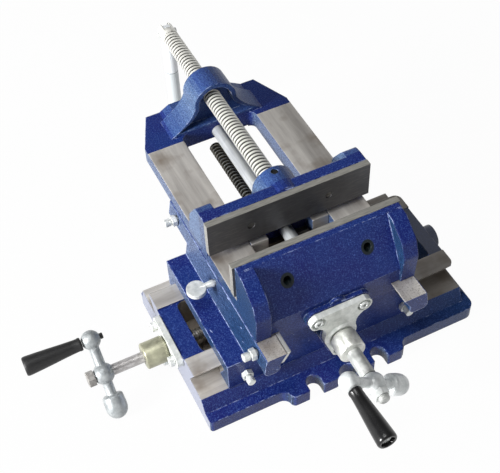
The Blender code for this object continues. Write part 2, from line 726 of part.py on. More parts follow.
def gib_strips():
    low = LEDGE_TOP + 2 * SEAT_GAP
    high = BASE_RAIL_TOP - SEAT_GAP
    x_gib = []
    for z in (low, high):
        x_gib.append((cavity_front(z) + RUNNING_GAP, z))
    for z in (high, low):
        x_gib.append((cavity_front(z) + RUNNING_GAP + X_GIB_THICK, z))
    left = SADDLE_X - SADDLE_LEFT - SADDLE_FOOT
    strip = prism(x_gib, "X", left + MM, SADDLE_X + SADDLE_RIGHT - MM)
    name_part(strip, "x_gib_strip", "steel", (SADDLE_X, 0, low))
    low = CHANNEL_FLOOR + SEAT_GAP
    y_gib = []
    for z in (low, WALL_TOP):
        y_gib.append((SADDLE_X - left_wall_inner(z) + RUNNING_GAP, z))
    for z in (WALL_TOP, low):
        y_gib.append((SADDLE_X - left_wall_inner(z) + RUNNING_GAP + Y_GIB_THICK, z))
    strip = prism(y_gib, "Y", PRONG_FRONT + 0.5 * MM, PRONG_REAR - 0.5 * MM)
    name_part(strip, "y_gib_strip", "steel", (SADDLE_X, 0, low))


def gib_screw(axis, face, tip, a, b, name):
    """An adjusting screw with its lock nut against the casting's face."""
    nut_end = face - SEAT_GAP - GIB_NUT_THICK
    head = nut_end - 1.5 * MM
    end = head - GIB_HEAD_LENGTH
    profile = [
        (end, 0), (end, GIB_HEAD_RADIUS - 0.5 * MM), (end + 0.5 * MM, GIB_HEAD_RADIUS), (head, GIB_HEAD_RADIUS),
        (head, GIB_SCREW_RADIUS), (tip, GIB_SCREW_RADIUS), (tip, 0),
    ]
    name_part(turned(profile, axis, a, b, 16), name, "zinc")
    nut = prism(circle(a, b, GIB_NUT_RADIUS, 6), axis, nut_end, face - SEAT_GAP)
    cut(nut, rod(axis, nut_end - MM, face + MM, GIB_SCREW_RADIUS + SEAT_GAP, a, b, 16))
    name_part(nut, name + "_nut", "zinc")


def thumb_screw(face, tip, y, z, name):
    """A spade thumb screw: a flat round blade on a turned stem."""
    collar = face - SEAT_GAP
    neck = collar - THUMB_STEM
    profile = [
        (neck - THUMB_RADIUS, 0), (neck - THUMB_RADIUS, GIB_SCREW_RADIUS * 0.6),
        (neck, GIB_SCREW_RADIUS), (collar - 2 * MM, GIB_SCREW_RADIUS * 1.3), (collar, GIB_SCREW_RADIUS * 1.3),
        (collar, GIB_SCREW_RADIUS), (tip, GIB_SCREW_RADIUS), (tip, 0),
    ]
    screw = turned(profile, "X", y, z, 16)
    blade = prism(circle(neck - THUMB_RADIUS * 0.8, y, THUMB_RADIUS, 24), "Z", z - THUMB_THICK / 2, z + THUMB_THICK / 2)
    join(screw, blade)
    name_part(screw, name, "zinc")


def gib_screws():
    z = X_GIB_SCREW_HEIGHT
    tip = cavity_front(z + GIB_SCREW_RADIUS) + RUNNING_GAP - SEAT_GAP
    for k, x in enumerate(X_GIB_SCREWS):
        gib_screw("Y", SADDLE_FRONT, tip, x + SADDLE_X, z, f"x_gib_screw_{k + 1}")
    z = Y_GIB_SCREW_HEIGHT
    face = SADDLE_X - wall_outer(z - GIB_NUT_RADIUS)
    tip = SADDLE_X - left_wall_inner(z - GIB_SCREW_RADIUS) + RUNNING_GAP - SEAT_GAP
    gib_screw("X", face, tip, Y_GIB_MIDDLE - Y_GIB_PITCH, z, "y_gib_screw_front")
    gib_screw("X", face, tip, Y_GIB_MIDDLE + Y_GIB_PITCH, z, "y_gib_screw_rear")
    thumb_screw(face, tip, Y_GIB_MIDDLE, z, "y_gib_thumb_screw")


def lead_nuts():
    half = X_NUT_LENGTH / 2
    nut = box(SADDLE_X - half, SADDLE_X + half, -X_NUT_WIDTH / 2, X_NUT_WIDTH / 2, X_NUT_BOTTOM, BASE_RAIL_TOP)
    bore = LEAD_RADIUS + BORE_GAP
    cut(nut, rod("X", SADDLE_X - X_NUT_LENGTH, SADDLE_X + X_NUT_LENGTH, bore, 0, X_SCREW_HEIGHT))
    name_part(nut, "x_nut", "bronze", (SADDLE_X, 0, X_SCREW_HEIGHT))
    side = TROUGH_HALF - SEAT_GAP
    half = Y_NUT_LENGTH / 2
    nut = box(SADDLE_X - side, SADDLE_X + side, -half, half, TROUGH_FLOOR + SEAT_GAP, CHANNEL_FLOOR - MM / 2)
    cut(nut, rod("Y", -Y_NUT_LENGTH, Y_NUT_LENGTH, bore, SADDLE_X, Y_SCREW_HEIGHT))
    name_part(nut, "y_nut", "bronze", (SADDLE_X, 0, Y_SCREW_HEIGHT))


# Vise body: rails, fixed jaw, apron and bridge in one casting

def body_section():
    neck_z = WALL_TOP + SEAT_GAP
    low = CHANNEL_FLOOR + 0.4 * MM
    foot = BODY_DOVETAIL_HALF + (neck_z - low) * DOVETAIL_SLOPE
    half = [(foot, low), (BODY_DOVETAIL_HALF, neck_z), (RAIL_OUTER, neck_z), (RAIL_OUTER, RAIL_TOP)]
    return [(x + SADDLE_X, z) for x, z in mirrored(half)]


def bell_outline(shrink=0.0):
    """The bridge's bell: a barrel round the clamp screw that flares to the shoulders."""
    right = []
    barrel = BRIDGE_BARREL - shrink
    for k in range(9):
        turn = math.radians(90 - 95 * k / 8)
        right.append((barrel * math.cos(turn), CLAMP_HEIGHT + barrel * math.sin(turn)))
    waist = right[-1]
    end = (BELL_FLARE_HALF - shrink * 2, RAIL_TOP - MM + shrink)
    pull = (waist[0] + 5 * MM - shrink / 2, (waist[1] + end[1]) / 2)
    for k in range(1, 7):
        t = k / 6
        x = waist[0] * (1 - t) ** 2 + 2 * pull[0] * t * (1 - t) + end[0] * t ** 2
        z = waist[1] * (1 - t) ** 2 + 2 * pull[1] * t * (1 - t) + end[1] * t ** 2
        right.append((x, z))
    left = [(-x, z) for x, z in reversed(right[1:])]
    return [(x + SADDLE_X, z) for x, z in left + right]


def bridge_rib():
    """The low ridge behind the bell that runs on to the bridge's rear face."""
    top = RAIL_TOP + BRIDGE_RIB_RISE
    half = [(BRIDGE_RIB_HALF + 2 * BRIDGE_RIB_RISE, RAIL_TOP - MM), (BRIDGE_RIB_HALF, top)]
    outline = [(x + SADDLE_X, z) for x, z in mirrored(half)]
    return prism(outline, "Y", BELL_REAR - MM, BRIDGE_REAR)


def fixed_jaw_wall():
    back = FIXED_FACE - PLATE_THICK - SEAT_GAP
    front = back - FIXED_TOP_THICK
    profile = [(back, RAIL_TOP - MM), (back, JAW_TOP), (front, JAW_TOP), (BODY_FRONT, RAIL_TOP), (BODY_FRONT, RAIL_TOP - MM)]
    return prism(profile, "X", SADDLE_X - (JAW_LENGTH / 2 - FIXED_END_INSET), SADDLE_X + (JAW_LENGTH / 2 - FIXED_END_INSET))


def fixed_gusset(side):
    back = FIXED_FACE - PLATE_THICK - SEAT_GAP
    low = WALL_TOP + SEAT_GAP
    corners = [(back, RAIL_TOP, 0), (back, JAW_TOP, 0)]
    corners += [(back - reach, JAW_TOP - drop * JAW_RISE, bend * JAW_RISE) for reach, drop, bend in FIXED_GUSSET]
    corners += [(back - FIXED_GUSSET_FOOT, low, 0), (BODY_FRONT + 4 * MM, low, 0), (BODY_FRONT + 4 * MM, RAIL_TOP, 0)]
    profile = rounded(corners, 4)
    inner = SADDLE_X + side * GUSSET_INNER
    outer = SADDLE_X + side * (JAW_LENGTH / 2 - FIXED_END_INSET)
    return prism(profile, "X", min(inner, outer), max(inner, outer))


def vise_body():
    casting = prism(body_section(), "Y", BODY_FRONT, BRIDGE_REAR)
    join(casting, fixed_jaw_wall(), fixed_gusset(-1), fixed_gusset(1))
    join(casting, eared_plate("Y", Y_EARS, SADDLE_X, Y_SCREW_HEIGHT, APRON_FRONT, APRON_BACK, APRON_GROW))
    join(casting, rod("Y", BODY_FRONT - ROD_BOSS_REACH, BODY_FRONT + ROD_SEAT, ROD_BOSS_RADIUS, SADDLE_X, ROD_HEIGHT))
    join(casting, prism(bell_outline(), "Y", BRIDGE_FRONT, BELL_REAR), bridge_rib())
    slot = prism(rounded([
        (SADDLE_X - RAIL_INNER, SLOT_FRONT, 0),
        (SADDLE_X + RAIL_INNER, SLOT_FRONT, 0),
        (SADDLE_X + RAIL_INNER, BRIDGE_FRONT, SLOT_CORNER),
        (SADDLE_X - RAIL_INNER, BRIDGE_FRONT, SLOT_CORNER),
    ]), "Z", LEDGE_TOP, RAIL_TOP + MM)
    under = box(SADDLE_X - RAIL_UNDERCUT, SADDLE_X + RAIL_UNDERCUT, SLOT_FRONT, BRIDGE_FRONT + MM, LEDGE_TOP, KEEPER_LEDGE)
    tail = box(SADDLE_X - RAIL_UNDERCUT, SADDLE_X + RAIL_UNDERCUT, BRIDGE_FRONT, BRIDGE_REAR + MM, LEDGE_TOP, BRIDGE_UNDERSIDE)
    recess = prism(bell_outline(BELL_RIM), "Y", BRIDGE_FRONT - MM, BRIDGE_FRONT + BELL_RECESS)
    cut(casting, slot, under, tail, recess)
    for side in (-1, 1):
        corner = [
            (SADDLE_X + side * (RAIL_OUTER + SEAT_GAP), BRIDGE_FRONT), (SADDLE_X + side * BRIDGE_TAIL_HALF, BRIDGE_REAR + MM),
            (SADDLE_X + side * RAIL_OUTER * 1.2, BRIDGE_REAR + MM), (SADDLE_X + side * RAIL_OUTER * 1.2, BRIDGE_FRONT),
        ]
        cut(casting, prism(corner, "Z", LEDGE_TOP, RAIL_TOP + BRIDGE_BARREL))
    thread = CLAMP_RADIUS + BORE_GAP
    cut(casting, rod("Y", BRIDGE_FRONT, BRIDGE_REAR + MM, thread, SADDLE_X, CLAMP_HEIGHT))
    rod_bore = ROD_RADIUS + SEAT_GAP
    cut(casting, rod("Y", SLOT_FRONT - 2 * ROD_SEAT, BRIDGE_FRONT + ROD_SEAT, rod_bore, SADDLE_X, ROD_HEIGHT))
    bore = JOURNAL_RADIUS + BORE_GAP
    cut(casting, rod("Y", APRON_FRONT - MM, APRON_BACK + MM, bore, SADDLE_X, Y_SCREW_HEIGHT))
    for a, b in Y_EARS:
        hole = EAR_SCREW_RADIUS + BORE_GAP
        deep = APRON_FRONT + EAR_SCREW_DEPTH + SEAT_GAP
        cut(casting, rod("Y", APRON_FRONT - MM, deep, hole, SADDLE_X + a, Y_SCREW_HEIGHT + b, 16))
    for side in (-1, 1):
        hole = PLATE_SCREW_RADIUS + BORE_GAP
        cut(casting, rod("Y", BODY_FRONT, FIXED_FACE, hole, SADDLE_X + side * PLATE_SCREW_X, PLATE_SCREW_Z, 16))
    name_part(casting, "vise_body_casting", "blue_paint", (SADDLE_X, 0, RAIL_TOP))


def jaw_plate(face, inward, name, parent):
    """A hardened jaw plate with its two screws, whose tips show in its face."""
    back = face + inward * PLATE_THICK
    low = JAW_TOP - PLATE_HEIGHT
    half = JAW_LENGTH / 2
    plate = box(SADDLE_X - half, SADDLE_X + half, min(face, back), max(face, back), low, JAW_TOP)
    for side in (-1, 1):
        x = SADDLE_X + side * PLATE_SCREW_X
        ends = sorted((face - inward * MM, back + inward * MM))
        cut(plate, rod("Y", ends[0], ends[1], PLATE_SCREW_RADIUS + SEAT_GAP, x, PLATE_SCREW_Z, 16))
        tip = face + inward * PLATE_SCREW_SINK
        screw = rod("Y", tip, tip + inward * PLATE_SCREW_LENGTH, PLATE_SCREW_RADIUS, x, PLATE_SCREW_Z, 16)
        label = "left" if side < 0 else "right"
        name_part(screw, f"{name}_screw_{label}", "black_steel", None, parent)
    name_part(plate, name + "_plate", "black_steel", None, parent)


def y_bearing():
    inner = APRON_FRONT - SEAT_GAP
    outer = inner - BEARING_PLATE
    plate = eared_plate("Y", Y_EARS, SADDLE_X, Y_SCREW_HEIGHT, outer, inner)
    cut(plate, rod("Y", outer - MM, inner + MM, JOURNAL_RADIUS + BORE_GAP, SADDLE_X, Y_SCREW_HEIGHT))
    for a, b in Y_EARS:
        hole = EAR_SCREW_RADIUS + BORE_GAP
        cut(plate, rod("Y", outer - MM, inner + MM, hole, SADDLE_X + a, Y_SCREW_HEIGHT + b, 16))
    name_part(plate, "y_bearing_plate", "zinc")
    for k, (a, b) in enumerate(Y_EARS):
        ear_screw("Y", SADDLE_X + a, Y_SCREW_HEIGHT + b, outer, 1, f"y_bearing_screw_{k + 1}", None)
    return outer


def y_drive(plate_face):
    origin = (SADDLE_X, plate_face, Y_SCREW_HEIGHT)
    axle = pivot("y_screw_axis", origin)
    collar_face = plate_face - SEAT_GAP
    collar_end = collar_face - Y_COLLAR_LENGTH
    collar = [
        (collar_face, JOURNAL_RADIUS + SEAT_GAP), (collar_face, COLLAR_RADIUS),
        (collar_end + MM, COLLAR_RADIUS), (collar_end, COLLAR_RADIUS - MM),
        (collar_end, JOURNAL_RADIUS + SEAT_GAP),
    ]
    name_part(turned(collar, "Y", SADDLE_X, Y_SCREW_HEIGHT), "y_thrust_collar", "zinc", origin, axle)
    nut_end = crank_set("Y", Y_CRANK_Y, SADDLE_X, Y_SCREW_HEIGHT, Y_CRANK_TURN, "y", origin, axle)
    start = APRON_BACK + SEAT_GAP
    screw = lead_screw("Y", Y_SCREW_REAR - MM, start, nut_end - SHAFT_TIP, SADDLE_X, Y_SCREW_HEIGHT)
    name_part(screw, "y_lead_screw", "black_steel", origin, axle)


# Movable jaw with its tongue between the rails and the keeper below

def moving_jaw():
    face = FIXED_FACE + JAW_GAP
    front = face + PLATE_THICK + SEAT_GAP
    rear = front + MOVING_WALL
    low = RAIL_TOP + SEAT_GAP
    left = SADDLE_X - (JAW_LENGTH / 2 - MOVING_END_INSET)
    right = SADDLE_X + (JAW_LENGTH / 2 - MOVING_END_INSET)
    profile = rounded([
        (front, low, 0), (MOVING_FOOT_REAR, low, 0), (MOVING_FOOT_REAR, low + MOVING_FOOT_THICK, 3 * MM),
        (rear + 4 * MM, low + MOVING_FOOT_THICK + 3 * MM, 5 * MM), (rear, JAW_TOP, 2 * MM), (front, JAW_TOP, 0),
    ], 4)
    casting = prism(profile, "X", left, right)
    gusset = rounded([
        (front, low, 0), (MOVING_FOOT_REAR, low, 0), (MOVING_FOOT_REAR - 3 * MM, JAW_TOP - MOVING_GUSSET_DROP, 12 * MM),
        (rear + MOVING_GUSSET_CREST, JAW_TOP - MM, 6 * MM), (rear, JAW_TOP, 0), (front, JAW_TOP, 0),
    ], 4)
    join(casting, prism(gusset, "X", left, SADDLE_X - MOVING_GUSSET_INNER))
    join(casting, prism(gusset, "X", SADDLE_X + MOVING_GUSSET_INNER, right))
    barrel = circle(SADDLE_X, CLAMP_HEIGHT, BARREL_RADIUS, 32)
    web = [(SADDLE_X - BARREL_RADIUS * 1.15, low + MM), (SADDLE_X + BARREL_RADIUS * 1.15, low + MM)]
    join(casting, prism(hull(barrel + web), "Y", front + MM, BARREL_REAR))
    side = RAIL_INNER - 0.4 * MM
    tongue_low = KEEPER_LEDGE
    join(casting, box(SADDLE_X - side, SADDLE_X + side, face, MOVING_FOOT_REAR, tongue_low, RAIL_TOP))
    join(casting, box(SADDLE_X - side, SADDLE_X + side, front, MOVING_FOOT_REAR, RAIL_TOP - MM, low + MM))
    gap = box(SADDLE_X - LAND_INNER, SADDLE_X + LAND_INNER, face - MM, face + LAND_DEPTH, tongue_low - MM, low)
    cut(casting, gap)
    cut(casting, rod("Y", face - MM, MOVING_FOOT_REAR + MM, ROD_RADIUS + BORE_GAP, SADDLE_X, ROD_HEIGHT))
    cut(casting, rod("Y", CLAMP_SEAT, BARREL_REAR + MM, CLAMP_RADIUS + BORE_GAP, SADDLE_X, CLAMP_HEIGHT))
    set_top = CLAMP_HEIGHT + BARREL_RADIUS + MM
    cut(casting, rod("Z", CLAMP_HEIGHT, set_top, SET_SCREW_RADIUS + SEAT_GAP, SADDLE_X, SET_SCREW_Y, 16))
    for way in (-1, 1):
        x = SADDLE_X + way * PLATE_SCREW_X
        cut(casting, rod("Y", face, rear + 6 * MM, PLATE_SCREW_RADIUS + BORE_GAP, x, PLATE_SCREW_Z, 16))
        hole = EAR_SCREW_RADIUS + SEAT_GAP
        middle = (KEEPER_FRONT + KEEPER_REAR) / 2
        x = SADDLE_X + way * KEEPER_SCREW_X
        cut(casting, rod("Z", tongue_low - MM, tongue_low + 12 * MM, hole, x, middle, 16))
    name_part(casting, "moving_jaw_casting", "blue_paint", (SADDLE_X, face, RAIL_TOP))
    screw_top = CLAMP_HEIGHT + CLAMP_NECK_RADIUS + SEAT_GAP
    set_end = CLAMP_HEIGHT + BARREL_RADIUS - 0.8 * MM
    set_screw = rod("Z", screw_top, set_end, SET_SCREW_RADIUS, SADDLE_X, SET_SCREW_Y, 16)
    name_part(set_screw, "jaw_set_screw", "black_steel")


def keeper():
    side = RAIL_UNDERCUT - 0.5 * MM
    top = KEEPER_LEDGE - SEAT_GAP
    bottom = top - KEEPER_THICK
    middle = (KEEPER_FRONT + KEEPER_REAR) / 2
    plate = box(SADDLE_X - side, SADDLE_X + side, KEEPER_FRONT, KEEPER_REAR, bottom, top)
    sink = 3.4 * MM
    for way, label in ((-1, "left"), (1, "right")):
        x = SADDLE_X + way * KEEPER_SCREW_X
        cut(plate, rod("Z", bottom - MM, top + MM, EAR_SCREW_RADIUS + SEAT_GAP, x, middle, 16))
        cut(plate, rod("Z", bottom - MM, bottom + sink, EAR_HEAD_RADIUS + SEAT_GAP, x, middle, 16))
        profile = [
            (bottom + 0.4 * MM, 0), (bottom + 0.4 * MM, EAR_HEAD_RADIUS), (bottom + sink - SEAT_GAP, EAR_HEAD_RADIUS),
            (bottom + sink - SEAT_GAP, EAR_SCREW_RADIUS), (top + 11 * MM, EAR_SCREW_RADIUS), (top + 11 * MM, 0),
        ]
        name_part(turned(profile, "Z", x, middle, 16), f"keeper_screw_{label}", "steel")
    name_part(plate, "keeper_plate", "steel")


# Clamp screw with its slotted end, pin and folding handle

def clamp_screw():
    origin = (SADDLE_X, CLAMP_SEAT, CLAMP_HEIGHT)
    start = CLAMP_SEAT + SEAT_GAP
    groove = SET_SCREW_RADIUS + 0.5 * MM
    profile = [
        (start, 0), (start, CLAMP_RADIUS), (SET_SCREW_Y - groove, CLAMP_RADIUS),
        (SET_SCREW_Y - groove, CLAMP_NECK_RADIUS), (SET_SCREW_Y + groove, CLAMP_NECK_RADIUS),
        (SET_SCREW_Y + groove, CLAMP_RADIUS), (CLAMP_END - MM, CLAMP_RADIUS),
        (CLAMP_END, CLAMP_RADIUS - MM), (CLAMP_END, 0),
    ]
    screw = turned(profile, "Y", SADDLE_X, CLAMP_HEIGHT, 28)
    half = HANDLE_SLOT / 2
    floor = HANDLE_Y - TANG_RADIUS - MM
    reach = CLAMP_RADIUS * 1.5
    cut(screw, box(SADDLE_X - half, SADDLE_X + half, floor, CLAMP_END + MM, CLAMP_HEIGHT - reach, CLAMP_HEIGHT + reach))
    hole = HANDLE_PIN_RADIUS + SEAT_GAP
    cut(screw, rod("X", SADDLE_X - reach, SADDLE_X + reach, hole, HANDLE_Y, CLAMP_HEIGHT, 16))
    name_part(screw, "clamp_screw", "zinc", origin)
    pin = rod("X", SADDLE_X - HANDLE_PIN_HALF, SADDLE_X + HANDLE_PIN_HALF, HANDLE_PIN_RADIUS, HANDLE_Y, CLAMP_HEIGHT, 16)
    name_part(pin, "handle_pin", "zinc", (SADDLE_X, HANDLE_Y, CLAMP_HEIGHT))


def handle():
    side = HANDLE_SLOT / 2 - SEAT_GAP
    shoulder = CLAMP_HEIGHT - TANG_DROP
    eye = circle(HANDLE_Y, CLAMP_HEIGHT, TANG_RADIUS, 24)
    width = HANDLE_RADIUS * 0.85
    foot = [(HANDLE_Y - width, shoulder - MM), (HANDLE_Y + width, shoulder - MM)]
    tang = prism(hull(eye + foot), "X", SADDLE_X - side, SADDLE_X + side)
    end = CLAMP_HEIGHT - HANDLE_LENGTH
    profile = [
        (end, 0), (end, HANDLE_RADIUS * 0.6), (end + HANDLE_RADIUS * 0.4, HANDLE_RADIUS),
        (shoulder - MM, HANDLE_RADIUS), (shoulder, HANDLE_RADIUS - MM), (shoulder, 0),
    ]
    grip = turned(profile, "Z", SADDLE_X, HANDLE_Y, 24)
    join(tang, grip)
    hole = HANDLE_PIN_RADIUS + BORE_GAP
    cut(tang, rod("X", SADDLE_X - HANDLE_SLOT, SADDLE_X + HANDLE_SLOT, hole, HANDLE_Y, CLAMP_HEIGHT, 16))
    name_part(tang, "clamp_handle", "zinc", (SADDLE_X, HANDLE_Y, CLAMP_HEIGHT))


def guide_rod():
    front = SLOT_FRONT - 2 * ROD_SEAT + SEAT_GAP
    bar = rod("Y", front, BRIDGE_FRONT + ROD_SEAT - SEAT_GAP, ROD_RADIUS, SADDLE_X, ROD_HEIGHT)
    name_part(bar, "guide_rod", "steel", (SADDLE_X, 0, ROD_HEIGHT))


clear_scene()
make_materials()
base_casting()
x_drive(x_bearing())
saddle_casting()
gib_strips()
gib_screws()
lead_nuts()
vise_body()
jaw_plate(FIXED_FACE, -1, "fixed_jaw", None)
y_drive(y_bearing())
guide_rod()
moving_jaw()
jaw_plate(FIXED_FACE + JAW_GAP, 1, "moving_jaw", None)
keeper()
clamp_screw()
handle()
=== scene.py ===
"""A cross slide vise for a drill press table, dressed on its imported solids."""

import math

import bmesh
import bpy
from mathutils import Matrix, Vector


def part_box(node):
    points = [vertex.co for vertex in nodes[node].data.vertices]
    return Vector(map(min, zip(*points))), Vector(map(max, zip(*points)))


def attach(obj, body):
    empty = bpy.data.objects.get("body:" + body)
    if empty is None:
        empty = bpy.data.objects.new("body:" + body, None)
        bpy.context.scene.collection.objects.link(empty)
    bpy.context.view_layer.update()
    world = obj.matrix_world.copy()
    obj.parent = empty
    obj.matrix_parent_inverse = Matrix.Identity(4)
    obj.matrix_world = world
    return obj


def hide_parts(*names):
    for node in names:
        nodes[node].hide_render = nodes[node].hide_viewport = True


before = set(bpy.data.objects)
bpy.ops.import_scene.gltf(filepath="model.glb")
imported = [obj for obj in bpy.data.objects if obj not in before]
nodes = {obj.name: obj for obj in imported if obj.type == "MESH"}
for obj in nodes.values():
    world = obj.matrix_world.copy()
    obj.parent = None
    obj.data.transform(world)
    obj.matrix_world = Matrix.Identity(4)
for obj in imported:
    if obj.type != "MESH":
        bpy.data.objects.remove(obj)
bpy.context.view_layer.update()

scene = bpy.context.scene

# The photographer's place: in front, to the left and well above the vise,
# with a lens that keeps the far bridge nearly as large as the front crank.

camera_data = bpy.data.cameras.new("photo_camera")
camera_data.sensor_width = 36
camera_data.lens = 74.17
camera_data.clip_start = 0.05
camera_data.clip_end = 50
camera = bpy.data.objects.new("photo_camera", camera_data)
scene.collection.objects.link(camera)
scene.camera = camera
camera_place = (-0.2634, -0.4859, 0.7645)
camera_right = Vector((0.8968, -0.4411, -0.0337))
camera_up = Vector((0.3578, 0.6785, 0.6416))
camera_forward = Vector((0.2601, 0.5875, -0.7663))
camera_turn = Matrix((camera_right, camera_up, -camera_forward)).transposed().to_4x4()
camera.matrix_world = Matrix.Translation(camera_place) @ camera_turn
scene.view_settings.view_transform = "Standard"


# The studio: a white table that keeps a faint shadow, white surroundings, a
# strong lamp out on the left, and weak ones in front and overhead.

X, Y, Z = range(3)
TABLE_REACH = 6
TABLE_WHITENESS = 0.97
LAMPS_AIM = Vector((0, 0.03, 0.08))


def maths(tree, operation, *values):
    """One sum, on numbers or on what other nodes give."""
    made = tree.nodes.new("ShaderNodeMath")
    made.operation = operation
    for k, value in enumerate(values):
        if isinstance(value, (int, float)):
            made.inputs[k].default_value = value
        else:
            tree.links.new(value, made.inputs[k])
    return made.outputs[0]


def times(tree, first, second):
    return maths(tree, "MULTIPLY", first, second)


def span(tree, value, low, high, at_low=0.0, at_high=1.0):
    """A value spread so that low gives at_low and high gives at_high."""
    made = tree.nodes.new("ShaderNodeMapRange")
    tree.links.new(value, made.inputs["Value"])
    made.inputs["From Min"].default_value = low
    made.inputs["From Max"].default_value = high
    made.inputs["To Min"].default_value = at_low
    made.inputs["To Max"].default_value = at_high
    return made.outputs["Result"]


def coordinates(tree, kind="Object"):
    """The x, y and z of a point on a piece, or of a way to look."""
    place = tree.nodes.new("ShaderNodeTexCoord")
    parts = tree.nodes.new("ShaderNodeSeparateXYZ")
    tree.links.new(place.outputs[kind], parts.inputs[0])
    return parts.outputs


def sight_rays(tree):
    """1 on rays of the eye, and 1 on rays of the eye, of reflections and of glass."""
    paths = tree.nodes.new("ShaderNodeLightPath")
    eye = paths.outputs["Is Camera Ray"]
    seen = maths(tree, "MAXIMUM", eye, paths.outputs["Is Glossy Ray"])
    return eye, maths(tree, "MAXIMUM", seen, paths.outputs["Is Transmission Ray"])


def mixed(tree, share, first, second, end):
    """First shader where share is 0, second where it is 1, sent to the end."""
    made = tree.nodes.new("ShaderNodeMixShader")
    tree.links.new(share, made.inputs[0])
    tree.links.new(first.outputs[0], made.inputs[1])
    tree.links.new(second.outputs[0], made.inputs[2])
    tree.links.new(made.outputs[0], end.inputs["Surface"])


# Reflections find the table darker far out in front, where the room is unlit.
table_finish = bpy.data.materials.new("white_table")
table_finish.use_nodes = True
table_tree = table_finish.node_tree
table_tree.nodes.remove(table_tree.nodes["Principled BSDF"])
matt = table_tree.nodes.new("ShaderNodeBsdfDiffuse")
matt.inputs["Color"].default_value = (0.6, 0.6, 0.6, 1)
table_eye, table_seen = sight_rays(table_tree)
table_lit = span(table_tree, coordinates(table_tree)[Y], -0.75, -0.35, 0.12)
white = table_tree.nodes.new("ShaderNodeEmission")
white.inputs["Strength"].default_value = 1
table_tree.links.new(maths(table_tree, "MAXIMUM", table_lit, table_eye), white.inputs["Color"])
table_share = times(table_tree, table_seen, TABLE_WHITENESS)
mixed(table_tree, table_share, matt, white, table_tree.nodes["Material Output"])
table_mesh = bpy.data.meshes.new("table")
table_corners = [(TABLE_REACH * i, TABLE_REACH * j, 0) for i, j in ((-1, -1), (1, -1), (1, 1), (-1, 1))]
table_mesh.from_pydata(table_corners, [], [(0, 1, 2, 3)])
table_mesh.materials.append(table_finish)
table = bpy.data.objects.new("table", table_mesh)
table.location.z = -0.0004
scene.collection.objects.link(table)

world = bpy.data.worlds.new("white_room")
scene.world = world
world.use_nodes = True
sky = world.node_tree
ceiling = span(sky, coordinates(sky, "Generated")[Z], 0.05, 0.6, 1.0, 0.2)
room = sky.nodes["Background"]
room.inputs["Strength"].default_value = 0.34
sky.links.new(ceiling, room.inputs["Color"])
sky_eye, sky_seen = sight_rays(sky)
room_seen = sky.nodes.new("ShaderNodeBackground")
room_seen.inputs["Strength"].default_value = 1
sky.links.new(maths(sky, "MAXIMUM", ceiling, sky_eye), room_seen.inputs["Color"])
mixed(sky, sky_seen, room, room_seen, sky.nodes["World Output"])

for name, place, size, power in (
    ("key_lamp", (-2.1, -0.2, 0.82), 0.6, 90),
    ("front_lamp", (-0.1, -1.7, 0.35), 0.9, 2),
    ("top_lamp", (-0.5, 0.0, 1.9), 0.8, 13),
):
    lamp_data = bpy.data.lights.new(name, "AREA")
    lamp_data.size = size
    lamp_data.energy = power
    lamp = bpy.data.objects.new(name, lamp_data)
    lamp.location = place
    lamp.rotation_euler = (LAMPS_AIM - Vector(place)).to_track_quat("-Z", "Y").to_euler()
    scene.collection.objects.link(lamp)


# Base: one iron casting in navy gloss paint. Its two dovetail rails, the ledges
# beside them and its underside are planed, and show bare warm grey iron.

def tone(red, green, blue):
    """A colour given as it looks on a screen, in steps of 255."""
    return tuple(((c / 255 + 0.055) / 1.055) ** 2.4 if c > 10 else c / 3294 for c in (red, green, blue))


def new_finish(name, metallic, roughness):
    """A finish with its node tree and its shader."""
    finish = bpy.data.materials.new(name)
    finish.use_nodes = True
    shader = finish.node_tree.nodes["Principled BSDF"]
    shader.inputs["Metallic"].default_value = metallic
    shader.inputs["Roughness"].default_value = roughness
    return finish, finish.node_tree, shader


def grain(tree, scale, detail=2.0, stretch=(1, 1, 1), rough=0.5):
    """Noise on the piece's own coordinates, with `scale` features to the metre."""
    place = tree.nodes.new("ShaderNodeTexCoord")
    shape = tree.nodes.new("ShaderNodeMapping")
    shape.inputs["Scale"].default_value = stretch
    noise = tree.nodes.new("ShaderNodeTexNoise")
    noise.inputs["Scale"].default_value = scale
    noise.inputs["Detail"].default_value = detail
    noise.inputs["Roughness"].default_value = rough
    tree.links.new(place.outputs["Object"], shape.inputs["Vector"])
    tree.links.new(shape.outputs["Vector"], noise.inputs["Vector"])
    return noise.outputs["Fac"]


def between(tree, share, first, second):
    """First colour where share is 0, second where it is 1."""
    made = tree.nodes.new("ShaderNodeMix")
    made.data_type = "RGBA"
    for socket, value in ((0, share), (6, first), (7, second)):
        if isinstance(value, tuple):
            made.inputs[socket].default_value = (*value, 1)
        else:
            tree.links.new(value, made.inputs[socket])
    return made.outputs[2]


def worn_edge(tree, radius):
    """The normal with corners rounded off, and 1 on those corners."""
    rounded = tree.nodes.new("ShaderNodeBevel")
    rounded.samples = 6
    rounded.inputs["Radius"].default_value = radius
    flat = tree.nodes.new("ShaderNodeNewGeometry")
    dot = tree.nodes.new("ShaderNodeVectorMath")
    dot.operation = "DOT_PRODUCT"
    tree.links.new(rounded.outputs[0], dot.inputs[0])
    tree.links.new(flat.outputs["Normal"], dot.inputs[1])
    return rounded.outputs[0], span(tree, dot.outputs["Value"], 0.995, 0.9)


def bumped(tree, height, strength, distance, normal=None):
    """The normal disturbed by a height, on top of another normal if one is given."""
    made = tree.nodes.new("ShaderNodeBump")
    made.inputs["Strength"].default_value = strength
    made.inputs["Distance"].default_value = distance
    tree.links.new(height, made.inputs["Height"])
    if normal is not None:
        tree.links.new(normal, made.inputs["Normal"])
    return made.outputs["Normal"]


def facing(tree):
    """The way that the face itself points, as x, y and z."""
    flat = tree.nodes.new("ShaderNodeNewGeometry")
    parts = tree.nodes.new("ShaderNodeSeparateXYZ")
    tree.links.new(flat.outputs["True Normal"], parts.inputs[0])
    return parts.outputs


